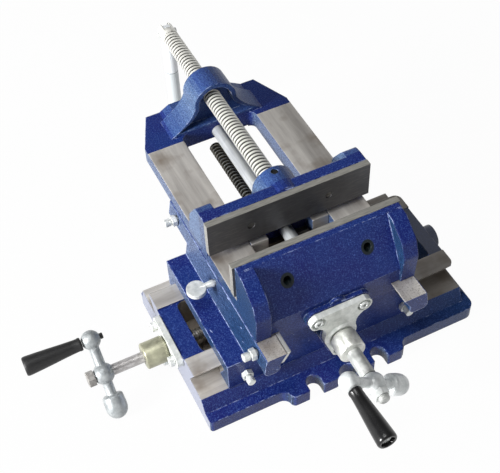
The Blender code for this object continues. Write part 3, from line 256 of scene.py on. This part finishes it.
def within(tree, place, limits):
    """1 where a point lies between the low and high limits of each axis named."""
    found = 1.0
    for axis, low, high in limits:
        inside = maths(tree, "COMPARE", place[axis], (low + high) / 2, (high - low) / 2)
        found = times(tree, found, inside)
    return found


def planed_where(tree, place, planes):
    """1 on the faces that the planer has been over.

    Each plane is an axis, the face's height on it, and limits on other axes.
    """
    way = facing(tree)
    found = 0.0
    for axis, height, limits in planes:
        square = maths(tree, "GREATER_THAN", maths(tree, "ABSOLUTE", way[axis]), 0.9)
        mask = times(tree, maths(tree, "COMPARE", place[axis], height, 0.0003), square)
        mask = times(tree, mask, within(tree, place, limits))
        found = maths(tree, "MAXIMUM", found, mask)
    return found


def painted_casting(name, planes, slide, marks, scuffed=False, teal_over=None):
    """Navy gloss paint over cast iron, bare on planed faces and undercut flanks.

    slide is how the noise is stretched so that its streaks follow the planer.
    marks adds what only this casting shows to its paint and its iron. A scuffed
    casting has lost more paint. Over the stretch teal_over in x, navy turns teal.
    """
    finish, tree, shader = new_finish(name, 0, 0.3)
    shader.inputs["Specular IOR Level"].default_value = 0.22
    soft_normal, corners = worn_edge(tree, 0.0013)
    place = coordinates(tree)
    way = facing(tree)

    # Navy with pale specks. Sides that face left get painted light as pale specks
    # over a deeper navy, and painted shade towards the front.
    speck = grain(tree, 900, 4, rough=0.75)
    peel = grain(tree, 620, 3, rough=0.6)
    cloud = span(tree, grain(tree, 22, 2), 0.35, 0.65)
    navy = between(tree, cloud, tone(18, 27, 97), tone(18, 40, 106))
    leftward = times(tree, span(tree, way[X], -0.5, -0.9), 0.88)
    in_front = span(tree, place[Y], 0.05, -0.03)
    shaded_left_navy = between(tree, in_front, tone(15, 33, 72), tone(4, 18, 42))
    navy = between(tree, leftward, navy, shaded_left_navy)
    if teal_over:
        teal = times(tree, span(tree, place[X], *teal_over), 0.8)
        navy = between(tree, teal, navy, tone(14, 50, 96))
    paint = between(tree, span(tree, speck, 0.5, 0.78), navy, tone(84, 112, 180))
    painted_left_light = between(tree, in_front, tone(112, 130, 158), tone(44, 76, 112))
    painted_left_light_share = times(tree, leftward, span(tree, speck, 0.44, 0.6))
    paint = between(tree, painted_left_light_share, paint, painted_left_light)

    # Chips on the corners, and scuffs on the faces of a scuffed casting.
    chip_level = 0.43 if scuffed else 0.5
    chipped = span(tree, grain(tree, 120, 5, rough=0.8), chip_level, chip_level + 0.08)
    chips = times(tree, corners, chipped)
    if scuffed:
        scuffs = span(tree, grain(tree, 240, 3, (1, 0.35, 1), 0.75), 0.665, 0.69)
        chips = maths(tree, "MAXIMUM", chips, scuffs)
    paint = between(tree, chips, paint, tone(160, 174, 214))

    # Planed iron with streaks and brown stains.
    streaks = grain(tree, 90, 4, slide, 0.65)
    stains = span(tree, grain(tree, 38, 3), 0.5, 0.75)
    iron = between(tree, span(tree, streaks, 0.3, 0.7), tone(186, 181, 176), tone(232, 228, 222))
    iron = between(tree, stains, iron, tone(158, 146, 134))
    paint, iron = marks(tree, place, paint, iron)

    undercut = maths(tree, "LESS_THAN", way[Z], -0.2)
    bare = maths(tree, "MAXIMUM", planed_where(tree, place, planes), undercut)
    covered = maths(tree, "SUBTRACT", 1.0, bare)
    tree.links.new(between(tree, bare, paint, iron), shader.inputs["Base Color"])
    tree.links.new(times(tree, bare, 0.65), shader.inputs["Metallic"])
    rough_paint = maths(tree, "MULTIPLY_ADD", peel, 0.2, 0.22)
    rough_iron = maths(tree, "MULTIPLY_ADD", streaks, 0.25, 0.32)
    rough = maths(tree, "ADD", times(tree, bare, rough_iron), times(tree, covered, rough_paint))
    tree.links.new(rough, shader.inputs["Roughness"])
    lines = times(tree, bare, grain(tree, 420, 2, slide))
    skin = times(tree, covered, peel)
    height = maths(tree, "ADD", times(tree, lines, 0.35), skin)
    tree.links.new(bumped(tree, height, 0.55, 0.0007, soft_normal), shader.inputs["Normal"])
    return finish


def base_marks(tree, place, paint, iron):
    """Oil and painted shade on the rails' right ends, a pale blue-grey left end, a bare pocket and a grey
    right end.
    """
    # Darker iron towards the right: partly oil, partly painted shade.
    oil_and_painted_shade = times(tree, span(tree, place[X], 0.055, 0.1), 0.6)
    iron = between(tree, oil_and_painted_shade, iron, tone(66, 60, 54))
    # The planed left end is tinted pale blue-grey.
    left_end = maths(tree, "LESS_THAN", place[X], -0.1262)
    iron = between(tree, left_end, iron, tone(164, 168, 184))
    pocket = within(tree, place, ((X, -0.1125, 0.1125), (Y, -0.0345, 0.0345), (Z, 0.0008, 0.0432)))
    paint = between(tree, pocket, paint, tone(176, 166, 154))
    # The right end wall and its boss are coloured grey over the navy.
    wall = within(tree, place, ((X, 0.1132, 0.2), (Y, -0.0365, 0.0365), (Z, 0.0425, 0.1)))
    boss = within(tree, place, ((X, 0.1268, 0.2), (Z, 0.0182, 0.0408)))
    grey_right_end = times(tree, maths(tree, "MAXIMUM", boss, wall), 0.75)
    return between(tree, grey_right_end, paint, tone(96, 98, 104)), iron


def dress(node, finish):
    """Give a CAD solid its finish."""
    mesh = nodes[node].data
    mesh.materials.clear()
    mesh.materials.append(finish)


BASE_RAIL_TOP = 0.0456
LEDGE_TOP = 0.0262
LEFT_END = -0.1266
UNDERSIDE = 0.0
base_planes = (
    (Z, BASE_RAIL_TOP, ()),
    (Z, LEDGE_TOP, ()),
    (X, LEFT_END, ()),
    (Z, UNDERSIDE, ()),
)
base_paint = painted_casting("base_paint", base_planes, (0.08, 1, 1), base_marks, teal_over=(0.03, 0.12))
dress("base_casting", base_paint)


# Left bearing plate: a three-eared zinc plated plate with cap screws, which
# carries the long feed screw at the base's left end.

def plated(name, colour, shadow, roughness, metallic, blotch=160, pits=0.25):
    """Plating with slight clouding and the marks of the piece below it."""
    finish, tree, shader = new_finish(name, metallic, roughness)
    soft_normal = worn_edge(tree, 0.0006)[0]
    clouds = grain(tree, blotch, 3, rough=0.6)
    clouded = between(tree, span(tree, clouds, 0.35, 0.7), shadow, colour)
    tree.links.new(clouded, shader.inputs["Base Color"])
    tree.links.new(maths(tree, "MULTIPLY_ADD", clouds, 0.25, roughness - 0.12), shader.inputs["Roughness"])
    tree.links.new(bumped(tree, grain(tree, 900, 3), pits, 0.0004, soft_normal), shader.inputs["Normal"])
    return finish


plate_zinc = plated("plate_zinc", tone(240, 242, 238), tone(206, 210, 205), 0.42, 0.3)
screw_zinc = plated("screw_zinc", tone(244, 246, 244), tone(206, 210, 208), 0.34, 0.35)
dress("x_bearing_plate", plate_zinc)
for k in (1, 2, 3):
    dress(f"x_bearing_screw_{k}", screw_zinc)


# Long feed screw: turned steel with a 4 mm trapezoidal thread. It is fixed in
# the base, so the saddle's nut travels along it.

PITCH = 0.004
FEED_CREST = 0.0056
FEED_ROOT = 0.0043
FEED_SHAFT = 0.0048
X_SCREW = (0.0, 0.0295)
X_THREAD = (-0.109, 0.1137)


def on_axis(axis, along, a, b):
    """A point `along` an x or y axis, with its two places across it."""
    return (along, a, b) if axis == X else (a, along, b)


def ring_of(bm, axis, along, radius, centre, sides):
    """A ring of points round the axis, or the one point on it."""
    ring = []
    for k in range(sides if radius else 1):
        turn = 2 * math.pi * k / sides
        a = centre[0] + radius * math.cos(turn)
        b = centre[1] + radius * math.sin(turn)
        ring.append(bm.verts.new(on_axis(axis, along, a, b)))
    return ring


def as_piece(name, bm, *finishes):
    """A mesh put into the scene with its finishes."""
    mesh = bpy.data.meshes.new(name)
    bm.to_mesh(mesh)
    bm.free()
    for finish in finishes:
        mesh.materials.append(finish)
    piece = bpy.data.objects.new(name, mesh)
    scene.collection.objects.link(piece)
    return piece


def as_turned(name, bm, finish, sharp):
    """A mesh made a smooth piece that keeps edges above `sharp` degrees crisp."""
    bmesh.ops.recalc_face_normals(bm, faces=bm.faces)
    piece = as_piece(name, bm, finish)
    piece.data.shade_smooth()
    piece.data.set_sharp_from_angle(angle=math.radians(sharp))
    return piece


def threaded(name, axis, start, end, centre, crest, root, finish, sides=28):
    """A screw thread swept along its helix, with a disc at each end."""
    profile = ((0.0, root), (0.16, root), (0.34, crest), (0.64, crest), (0.82, root), (1.0, root))
    bm = bmesh.new()
    previous = None
    for k in range(int((end - start) / PITCH * sides) + 2 * sides):
        turn = 2 * math.pi * k / sides
        row = []
        for share, radius in profile:
            along = start + PITCH * (k / sides + share - 1)
            along = min(max(along, start), end)
            a = centre[0] + radius * math.cos(turn)
            b = centre[1] + radius * math.sin(turn)
            row.append(bm.verts.new(on_axis(axis, along, a, b)))
        if previous:
            for i in range(len(row) - 1):
                bm.faces.new((previous[i], previous[i + 1], row[i + 1], row[i]))
        previous = row
    for along in (start, end):
        bm.faces.new(ring_of(bm, axis, along, crest * 0.98, centre, sides))
    return as_turned(name, bm, finish, 35)


def turned_piece(name, axis, profile, centre, finish, sides=48, sharp=35):
    """A lathe-turned piece from (along, radius) points, closed on its axis or on itself."""
    bm = bmesh.new()
    rings = [ring_of(bm, axis, along, radius, centre, sides) for along, radius in profile]
    pairs = list(zip(rings, rings[1:]))
    if profile[0][1]:
        pairs.append((rings[-1], rings[0]))
    for one, two in pairs:
        for k in range(sides):
            n = (k + 1) % sides
            if len(one) == 1:
                bm.faces.new((one[0], two[k], two[n]))
            elif len(two) == 1:
                bm.faces.new((one[k], one[n], two[0]))
            else:
                bm.faces.new((one[k], one[n], two[n], two[k]))
    return as_turned(name, bm, finish, sharp)


def merged(name, *parts):
    """Several meshes made into one piece, keeping their finishes."""
    bm = bmesh.new()
    finishes = []
    for part in parts:
        slots = [s.material for s in part.material_slots]
        for finish in slots:
            if finish not in finishes:
                finishes.append(finish)
        first = len(bm.faces)
        bm.from_mesh(part.data)
        bm.faces.ensure_lookup_table()
        for face in bm.faces[first:]:
            face.material_index = finishes.index(slots[face.material_index])
        bpy.data.objects.remove(part, do_unlink=True)
    return as_piece(name, bm, *finishes)


feed_steel = plated("feed_steel", tone(196, 192, 182), tone(140, 136, 128), 0.34, 0.6, 300)
shaft_steel = plated("shaft_steel", tone(208, 206, 205), tone(160, 157, 156), 0.36, 0.5, 260)
x_nut_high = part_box("x_crank_nut")[1].x
x_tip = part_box("x_lead_screw")[1].x
x_thread = threaded("x_thread", X, *X_THREAD, X_SCREW, FEED_CREST, FEED_ROOT, feed_steel)
x_shaft = turned_piece("x_shaft", X, [
    (x_nut_high - 0.001, 0), (x_nut_high - 0.001, FEED_SHAFT), (X_THREAD[0], FEED_SHAFT),
    (X_THREAD[0], FEED_ROOT), (X_THREAD[1], FEED_ROOT), (X_THREAD[1], FEED_SHAFT),
    (x_tip - 0.0005, FEED_SHAFT), (x_tip, FEED_ROOT), (x_tip, 0),
], X_SCREW, shaft_steel)
x_screw = merged("x_feed_screw", x_thread, x_shaft)
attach(x_screw, "left_crank")
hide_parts("x_lead_screw")


# Left crank: a turned collar with yellowish plating, a zinc plated ball crank
# with its nut, and a tapered black grip that turns on a stud.

CRANK_REACH = 0.0305
CRANK_ARM = 0.0046
X_CRANK = -0.1894
X_TURN = math.radians(42)


def thrust_collar(name, axis, face, length, centre, finish):
    """A collar with a narrow groove at its back and chamfers at both ends."""
    end = face - length
    bore = 0.0051
    return turned_piece(name, axis, [
        (face, bore), (face, 0.0098), (face - 0.0012, 0.0098), (face - 0.0012, 0.0112),
        (face - 0.0017, 0.0117), (end + 0.0011, 0.0117), (end + 0.0004, 0.0113), (end, 0.0106), (end, bore),
    ], centre, finish, 56)


def moulded_black(name, roughness):
    """Black plastic with a faint skin from its mould."""
    finish, tree, shader = new_finish(name, 0, roughness)
    clouds = grain(tree, 120, 3)
    tree.links.new(between(tree, clouds, tone(12, 12, 13), tone(26, 26, 27)), shader.inputs["Base Color"])
    tree.links.new(maths(tree, "MULTIPLY_ADD", clouds, 0.2, roughness - 0.1), shader.inputs["Roughness"])
    tree.links.new(bumped(tree, grain(tree, 800, 2), 0.12, 0.0003), shader.inputs["Normal"])
    return finish


def ball_crank(name, axis, along, centre, turn, finish):
    """A turned arm with a heavy barrel end, a ball for the hub and a ball for the grip."""
    profile = [
        (-0.0402, 0), (-0.04, 0.0022), (-0.0392, 0.0045), (-0.0376, 0.0066), (-0.0352, 0.0083),
        (-0.0322, 0.0092), (-0.028, 0.0094), (-0.0215, 0.009), (-0.0202, 0.0088), (-0.0192, 0.0078),
        (-0.019, CRANK_ARM + 0.0002), (-0.0182, CRANK_ARM - 0.0003),
    ]
    for middle, radius in ((0.0, 0.0093), (CRANK_REACH, 0.0084)):
        reach = math.sqrt(radius ** 2 - CRANK_ARM ** 2)
        first = math.pi - math.asin(CRANK_ARM / radius)
        last = 0 if middle == CRANK_REACH else math.asin(CRANK_ARM / radius)
        profile.append((middle - reach - 0.0008, CRANK_ARM - 0.0002))
        for k in range(21):
            angle = first + (last - first) * k / 20
            profile.append((middle + radius * math.cos(angle), radius * math.sin(angle)))
        if last:
            profile.append((middle + reach + 0.0008, CRANK_ARM - 0.0002))
    profile[-1] = (profile[-1][0], 0)
    crank = turned_piece(name, X, profile, (0, 0), finish, 44, 50)
    if axis == Y:
        turned = Matrix.Rotation(-turn, 4, "Y")
    else:
        turned = Matrix.Rotation(turn, 4, "X") @ Matrix.Rotation(math.pi / 2, 4, "Z")
    crank.data.transform(Matrix.Translation(on_axis(axis, along, *centre)) @ turned)
    return crank


def crank_grip(name, axis, along, centre, finish):
    """A tapered grip with a ring at its neck, a rolled end and a sunk stud head."""
    start = along - 0.0085
    end = start - 0.05
    return turned_piece(name, axis, [
        (start, 0.0034), (start, 0.0054), (start - 0.0006, 0.0058), (start - 0.0024, 0.0058),
        (start - 0.003, 0.0055), (start - 0.009, 0.0058), (start - 0.018, 0.0064), (start - 0.028, 0.0072),
        (start - 0.038, 0.0079), (end + 0.005, 0.0083), (end + 0.0022, 0.0084), (end + 0.0008, 0.0081),
        (end, 0.0074), (end, 0.006), (end + 0.0008, 0.0055), (end + 0.006, 0.0053), (end + 0.006, 0.0034),
    ], centre, finish, 52, 40)


def arm_end(centre, turn):
    """Where the crank's arm ends, seen along its screw."""
    return centre[0] + CRANK_REACH * math.cos(turn), centre[1] + CRANK_REACH * math.sin(turn)


def about_x(centre, change):
    """A change made about a line along x through the centre."""
    there = Matrix.Translation((0, *centre))
    return there @ change @ there.inverted()


collar_zinc = plated("collar_zinc", tone(178, 177, 152), tone(140, 139, 120), 0.4, 0.5, 120)
crank_zinc = plated("crank_zinc", tone(178, 182, 183), tone(146, 151, 153), 0.42, 0.4, 200, 0.35)
nut_steel = plated("nut_steel", tone(168, 166, 162), tone(132, 129, 126), 0.45, 0.3, 240)
grip_black = moulded_black("grip_black", 0.52)
dress("x_grip_stud", screw_zinc)
x_nut_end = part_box("x_crank_nut")[0].x - 0.0008
x_cap_nut = turned_piece("x_cap_nut", X, [
    (x_nut_end, 0), (x_nut_end, 0.0062), (x_nut_end + 0.0005, 0.0071),
    (x_nut_high, 0.0071), (x_nut_high, 0.0049),
], X_SCREW, nut_steel, 6, 20)
x_cap_nut.data.transform(about_x(X_SCREW, Matrix.Rotation(math.radians(16), 4, "X")))
x_stud_end = turned_piece("x_stud_end", X, [
    (-0.1814, 0), (-0.1814, 0.0026), (-0.179, 0.0026), (-0.1787, 0.0022), (-0.1787, 0),
], arm_end(X_SCREW, X_TURN), grip_black, 20)
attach(x_cap_nut, "left_crank")
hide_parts("x_crank_nut")
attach(x_stud_end, "left_crank")
x_collar_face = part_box("x_thrust_collar")[1].x
x_collar = thrust_collar("x_collar", X, x_collar_face, 0.0205, X_SCREW, collar_zinc)
x_crank = ball_crank("x_ball_crank", X, X_CRANK, X_SCREW, X_TURN, crank_zinc)
x_grip = crank_grip("x_black_grip", X, X_CRANK, arm_end(X_SCREW, X_TURN), grip_black)
for piece, node, body, finish_slot in (
    (x_collar, "x_thrust_collar", "left_crank", "zinc"),
    (x_crank, "x_crank", "left_crank", "grey_steel"),
    (x_grip, "x_grip", "left_grip", "black_plastic"),
):
    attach(piece, body)
    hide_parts(node)


# Saddle: an iron casting between the two slides, painted as the base is. Its
# dovetails and the tops of its four prongs are planed, and pitted with use.

SADDLE_WALL_TOP = 0.087
SADDLE_FOOT_TOP = 0.0589
CHANNEL_FLOOR = 0.076


def saddle_marks(tree, place, paint, iron):
    """Small dark pits in the planed iron."""
    pits = times(tree, span(tree, grain(tree, 760, 4, rough=0.75), 0.52, 0.64), 0.75)
    return paint, between(tree, pits, iron, tone(118, 108, 96))


under_the_body = ((X, -0.0772, 0.0674),)
saddle_planes = (
    (Z, SADDLE_WALL_TOP, under_the_body),
    (Z, SADDLE_FOOT_TOP, ()),
    (Z, CHANNEL_FLOOR, ()),
)
saddle_paint = painted_casting("saddle_paint", saddle_planes, (1, 0.08, 1), saddle_marks, scuffed=True)
dress("saddle_casting", saddle_paint)


# Gib strips, feed nuts and the adjusting screws along the saddle's sides. The
# strips are ground steel, the nuts bronze and the screws bright plated.

def ground_steel(name, light, dark, slide, metallic=0.7):
    """Ground steel with fine lines along one axis."""
    roughness = 0.36
    finish, tree, shader = new_finish(name, metallic, roughness)
    soft_normal = worn_edge(tree, 0.0004)[0]
    lines = grain(tree, 500, 3, slide)
    clouds = grain(tree, 60, 3)
    colour = between(tree, span(tree, lines, 0.3, 0.7), dark, light)
    colour = between(tree, span(tree, clouds, 0.55, 0.8), colour, dark)
    tree.links.new(colour, shader.inputs["Base Color"])
    tree.links.new(maths(tree, "MULTIPLY_ADD", lines, 0.25, roughness - 0.12), shader.inputs["Roughness"])
    tree.links.new(bumped(tree, lines, 0.25, 0.0004, soft_normal), shader.inputs["Normal"])
    return finish


dress("x_gib_strip", ground_steel("x_gib_steel", tone(196, 192, 184), tone(150, 146, 140), (0.05, 1, 1)))
dress("y_gib_strip", ground_steel("y_gib_steel", tone(226, 226, 222), tone(180, 178, 172), (1, 0.05, 1)))
nut_bronze = plated("nut_bronze", tone(176, 140, 84), tone(132, 102, 62), 0.42, 0.8, 240)
dress("x_nut", nut_bronze)
dress("y_nut", nut_bronze)
for node in ("x_gib_screw_1", "x_gib_screw_2", "y_gib_screw_front", "y_gib_screw_rear"):
    dress(node, screw_zinc)
    dress(node + "_nut", screw_zinc)
dress("y_gib_thumb_screw", screw_zinc)


# Vise body: rails, fixed jaw, apron and bridge in one iron casting, painted as
# the base is. The two rails are planed on top, where the jaw slides.

BODY_RAIL_TOP = 0.1022
JAW_SCREW_HOLES = ((-0.0409, 0.127), (0.0311, 0.127))


def sandy(tree, place, paint, limits):
    """Paint that lets the casting's sandy skin show within the limits."""
    sand = times(tree, span(tree, grain(tree, 1100, 5, rough=0.8), 0.42, 0.62), 0.5)
    return between(tree, times(tree, within(tree, place, limits), sand), paint, tone(92, 128, 170))


def squared_distance(tree, place, centre):
    """The square of how far a point lies from a line along y."""
    across = maths(tree, "SUBTRACT", place[X], centre[0])
    above = maths(tree, "SUBTRACT", place[Z], centre[1])
    return maths(tree, "ADD", times(tree, across, across), times(tree, above, above))


def body_marks(tree, place, paint, iron):
    """A sandy bridge, and painted shade as dark uneven rings round the holes in the apron's front."""
    paint = sandy(tree, place, paint, ((Y, 0.15, 0.21), (Z, 0.104, 0.16)))
    unevenness = times(tree, grain(tree, 22, 2), 0.00001)
    apron_front = maths(tree, "LESS_THAN", place[Y], -0.034)
    for hole in JAW_SCREW_HOLES:
        away = maths(tree, "ADD", squared_distance(tree, place, hole), unevenness)
        # Painted shade: a dark ring that makes each hole's shadowed bore look wider.
        painted_bore_shade = times(tree, span(tree, away, 0.000042, 0.000034), apron_front)
        paint = between(tree, painted_bore_shade, paint, tone(20, 30, 34))
    return paint, iron


body_planes = ((Z, BODY_RAIL_TOP, ((Y, -0.036, 0.152),)),)
dress("vise_body_casting", painted_casting("body_paint", body_planes, (1, 0.08, 1), body_marks))


# Jaw plates: hardened and blackened steel bars, ground on top, each held by two
# screws whose ends show as small dots in the gripping face.

def jaw_steel(name):
    """Blackened steel, ground bright on its top and on its two ends."""
    finish, tree, shader = new_finish(name, 0.3, 0.42)
    soft_normal = worn_edge(tree, 0.0004)[0]
    lines = grain(tree, 700, 3, (0.15, 1, 1))
    clouds = grain(tree, 26, 3, rough=0.6)
    dark = between(tree, span(tree, clouds, 0.3, 0.75), tone(66, 66, 69), tone(92, 92, 94))
    dark = between(tree, span(tree, lines, 0.5, 0.9), dark, tone(104, 103, 103))
    bright = between(tree, span(tree, lines, 0.3, 0.7), tone(128, 127, 122), tone(156, 154, 148))
    top_and_ends = ((Z, 0.1454, ()), (X, -0.0799, ()), (X, 0.0701, ()))
    ground = planed_where(tree, coordinates(tree), top_and_ends)
    tree.links.new(between(tree, ground, dark, bright), shader.inputs["Base Color"])
    tree.links.new(maths(tree, "MULTIPLY_ADD", clouds, 0.2, 0.34), shader.inputs["Roughness"])
    tree.links.new(bumped(tree, lines, 0.2, 0.0003, soft_normal), shader.inputs["Normal"])
    return finish


plate_black = jaw_steel("plate_black")
dark_screw = plated("dark_screw", tone(70, 72, 70), tone(34, 36, 36), 0.34, 0.7)
tip_steel = plated("tip_steel", tone(150, 148, 145), tone(96, 94, 92), 0.3, 0.6)
dress("fixed_jaw_plate", plate_black)
dress("moving_jaw_plate", plate_black)
for side in ("left", "right"):
    dress(f"fixed_jaw_screw_{side}", dark_screw)
    dress(f"moving_jaw_screw_{side}", tip_steel)


# Front bearing plate: the left plate's twin, screwed to the apron. Three cap
# screws are sunk in it, and a short boss round the feed screw stands out of it.

Y_SCREW = (-0.0049, 0.0616)


def cut_from(piece, cutter):
    """Cut one mesh out of a piece, and do away with the cutter."""
    cut = piece.modifiers.new("cut", "BOOLEAN")
    cut.operation = "DIFFERENCE"
    cut.solver = "EXACT"
    cut.object = cutter
    bpy.context.view_layer.update()
    cut_mesh = bpy.data.meshes.new_from_object(piece.evaluated_get(bpy.context.evaluated_depsgraph_get()))
    piece.modifiers.clear()
    piece.data = cut_mesh
    bpy.data.objects.remove(cutter, do_unlink=True)


plate_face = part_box("y_bearing_plate")[0].y
plate_copy = bmesh.new()
plate_copy.from_mesh(nodes["y_bearing_plate"].data)
plate_copy.transform(nodes["y_bearing_plate"].matrix_world)
sunk_plate = as_piece("y_sunk_plate", plate_copy, plate_zinc)
for k in (1, 2, 3):
    low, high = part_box(f"y_bearing_screw_{k}")
    middle = ((low.x + high.x) / 2, (low.z + high.z) / 2)
    cut_from(sunk_plate, turned_piece("screw_recess", Y, [
        (plate_face - 0.003, 0), (plate_face - 0.003, 0.007), (plate_face, 0.0062),
        (plate_face + 0.0026, 0.0052), (plate_face + 0.0026, 0),
    ], middle, plate_zinc, 28))
    top = plate_face - 0.0008
    cap = turned_piece(f"y_cap_screw_{k}", Y, [
        (top + 0.0016, 0), (top + 0.0016, 0.0021), (top, 0.0021), (top, 0.0035), (top + 0.0006, 0.0041),
        (plate_face + 0.0023, 0.0042), (plate_face + 0.0023, 0.0025), (high.y, 0.0025), (high.y, 0),
    ], middle, screw_zinc, 30)
    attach(cap, "vise_body")
    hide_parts(f"y_bearing_screw_{k}")
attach(sunk_plate, "vise_body")
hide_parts("y_bearing_plate")
boss_end = plate_face - 0.0018
plate_boss = turned_piece("y_plate_boss", Y, [
    (boss_end + 0.003, 0.0053), (boss_end + 0.003, 0.0148), (boss_end + 0.0017, 0.0138),
    (boss_end + 0.0012, 0.0128), (boss_end + 0.0006, 0.0121), (boss_end, 0.0117), (boss_end, 0.0053),
], Y_SCREW, plate_zinc, 48)
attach(plate_boss, "vise_body")


# Front feed: a screw blackened where it runs under the rails, with the second
# collar, crank and grip on the bright shaft in front of the plate.

Y_THREAD_START = -0.0614
Y_CRANK = -0.1289
Y_TURN = math.radians(140.5)
collar_white = plated("collar_white", tone(228, 229, 224), tone(186, 187, 180), 0.34, 0.55, 150)
# The left crank's zinc made lighter: painted light on the front crank, which is the same plated part.
front_zinc_painted_light = plated("front_zinc_painted_light", tone(242, 245, 245), tone(204, 209, 209), 0.36, 0.2, 190, 0.35)
front_shaft = plated("front_shaft", tone(204, 206, 203), tone(164, 166, 163), 0.4, 0.35, 160, 0.3)
black_oxide = plated("black_oxide", tone(104, 100, 88), tone(34, 33, 30), 0.34, 0.8, 500)
gloss_black = moulded_black("gloss_black", 0.24)
dress("y_crank_nut", screw_zinc)
dress("y_grip_stud", screw_zinc)
y_low, y_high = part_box("y_lead_screw")
y_thread = threaded("y_thread", Y, Y_THREAD_START, y_high.y, Y_SCREW, FEED_CREST, FEED_ROOT, black_oxide)
y_shaft = turned_piece("y_shaft", Y, [
    (y_low.y, 0), (y_low.y, 0.0038), (y_low.y + 0.001, FEED_SHAFT), (-0.121, FEED_SHAFT), (-0.121, 0.0064),
    (boss_end - 0.018, 0.0064), (boss_end - 0.018, FEED_SHAFT), (Y_THREAD_START, FEED_SHAFT),
    (Y_THREAD_START, FEED_ROOT), (y_high.y - 0.0002, FEED_ROOT), (y_high.y - 0.0002, 0),
], Y_SCREW, front_shaft)
y_screw = merged("y_feed_screw", y_thread, y_shaft)
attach(y_screw, "front_crank")
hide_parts("y_lead_screw")
y_collar = thrust_collar("y_collar", Y, boss_end - 0.0006, 0.0184, Y_SCREW, collar_white)
y_crank = ball_crank("y_ball_crank", Y, Y_CRANK, Y_SCREW, Y_TURN, front_zinc_painted_light)
y_grip = crank_grip("y_black_grip", Y, Y_CRANK, arm_end(Y_SCREW, Y_TURN), gloss_black)
for piece, node, body, finish_slot in (
    (y_collar, "y_thrust_collar", "front_crank", "zinc"),
    (y_crank, "y_crank", "front_crank", "grey_steel"),
    (y_grip, "y_grip", "front_grip", "black_plastic"),
):
    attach(piece, body)
    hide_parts(node)


# Guide rod: a bright ground bar under the clamp screw, which keeps the movable
# jaw square as it slides.

rod_steel = ground_steel("rod_steel", tone(206, 209, 210), tone(172, 175, 178), (1, 0.06, 1), 0.35)
dress("guide_rod", rod_steel)


# Movable jaw: an iron casting with a domed barrel for the clamp screw, painted,
# with planed guide blocks under it and a keeper plate below the rails.

JAW_FRONT = 0.0126
GUIDE_BLOCK_TOP = 0.0845


def jaw_marks(tree, place, paint, iron):
    """Sandy skin on the barrel behind the jaw."""
    return sandy(tree, place, paint, ((Y, 0.03, 0.07),)), iron


jaw_planes = ((Z, BODY_RAIL_TOP, ()), (Y, JAW_FRONT, ()), (Z, GUIDE_BLOCK_TOP, ()))
dress("moving_jaw_casting", painted_casting("jaw_paint", jaw_planes, (0.08, 1, 1), jaw_marks))
dress("jaw_set_screw", dark_screw)
dress("keeper_plate", ground_steel("keeper_steel", tone(150, 146, 140), tone(110, 106, 100), (0.06, 1, 1)))
dress("keeper_screw_left", dark_screw)
dress("keeper_screw_right", dark_screw)


# Clamp screw: a bright coarse screw through the bridge, with a slot cut in its
# end for the handle.

CLAMP = (-0.0049, 0.1287)
CLAMP_THREAD = (0.0283, 0.2612)
CLAMP_CREST = 0.008
CLAMP_ROOT = 0.0064
GROOVE_EDGE = 0.0071


def rolled_thread(name, centre, crest, groove):
    """Rolled thread: bright on its crests, with painted shade down in its grooves."""
    finish, tree, shader = new_finish(name, 0.35, 0.3)
    radius = maths(tree, "POWER", squared_distance(tree, coordinates(tree), centre), 0.5)
    # Painted shade: the colour turns dark below the groove edge.
    on_crest = span(tree, radius, GROOVE_EDGE - 0.0002, GROOVE_EDGE + 0.0003)
    tree.links.new(between(tree, on_crest, groove, crest), shader.inputs["Base Color"])
    return finish


clamp_steel = rolled_thread("clamp_steel", CLAMP, tone(236, 235, 228), tone(66, 66, 64))
clamp_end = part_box("clamp_screw")[1].y
clamp_thread = threaded("clamp_thread", Y, *CLAMP_THREAD, CLAMP, CLAMP_CREST, CLAMP_ROOT, clamp_steel, 32)
clamp_core = turned_piece("clamp_core", Y, [
    (0.0284, 0), (0.0284, 0.0065), (0.261, 0.0065), (0.261, 0.0078), (0.2618, 0.008),
    (clamp_end - 0.0022, 0.008), (clamp_end - 0.0007, 0.0073), (clamp_end, 0.006), (clamp_end, 0),
], CLAMP, clamp_steel)
slot_place = (clamp_end, CLAMP[1])
slot_cutter = turned_piece("slot_cutter", X, [
    (-0.0084, 0), (-0.0084, 0.0085), (-0.0014, 0.0085), (-0.0014, 0),
], slot_place, clamp_steel, 4)
slot_stretch = Matrix.Scale(1.55, 4, (0, 1, 0)) @ Matrix.Scale(1.55, 4, (0, 0, 1))
slot_cutter.data.transform(about_x(slot_place, Matrix.Rotation(math.pi / 4, 4, "X") @ slot_stretch))
cut_from(clamp_core, slot_cutter)
clamp = merged("clamp_spindle", clamp_thread, clamp_core)
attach(clamp, "spindle")
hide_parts("clamp_screw")


# Folding handle: a zinc plated bar pinned in the clamp screw's slot, which
# hangs down or folds out. Below its seam the bar is coloured a little darker.

HANDLE_SEAM = 0.0816 - nodes["clamp_handle"].matrix_world.translation.z
handle_zinc, handle_tree, handle_shader = new_finish("handle_zinc", 0.25, 0.34)
below_seam = maths(handle_tree, "SUBTRACT", HANDLE_SEAM, coordinates(handle_tree)[Z])
seam = maths(handle_tree, "COMPARE", below_seam, 0.0, 0.0005)
lower_part = span(handle_tree, below_seam, -0.0002, 0.0002)
handle_tone = between(handle_tree, lower_part, tone(236, 240, 243), tone(210, 216, 218))
handle_tone = between(handle_tree, seam, handle_tone, tone(150, 156, 158))
handle_tree.links.new(handle_tone, handle_shader.inputs["Base Color"])
handle_skin = bumped(handle_tree, grain(handle_tree, 500, 2), 0.1, 0.0002)
handle_tree.links.new(handle_skin, handle_shader.inputs["Normal"])
dress("handle_pin", screw_zinc)
dress("clamp_handle", handle_zinc)
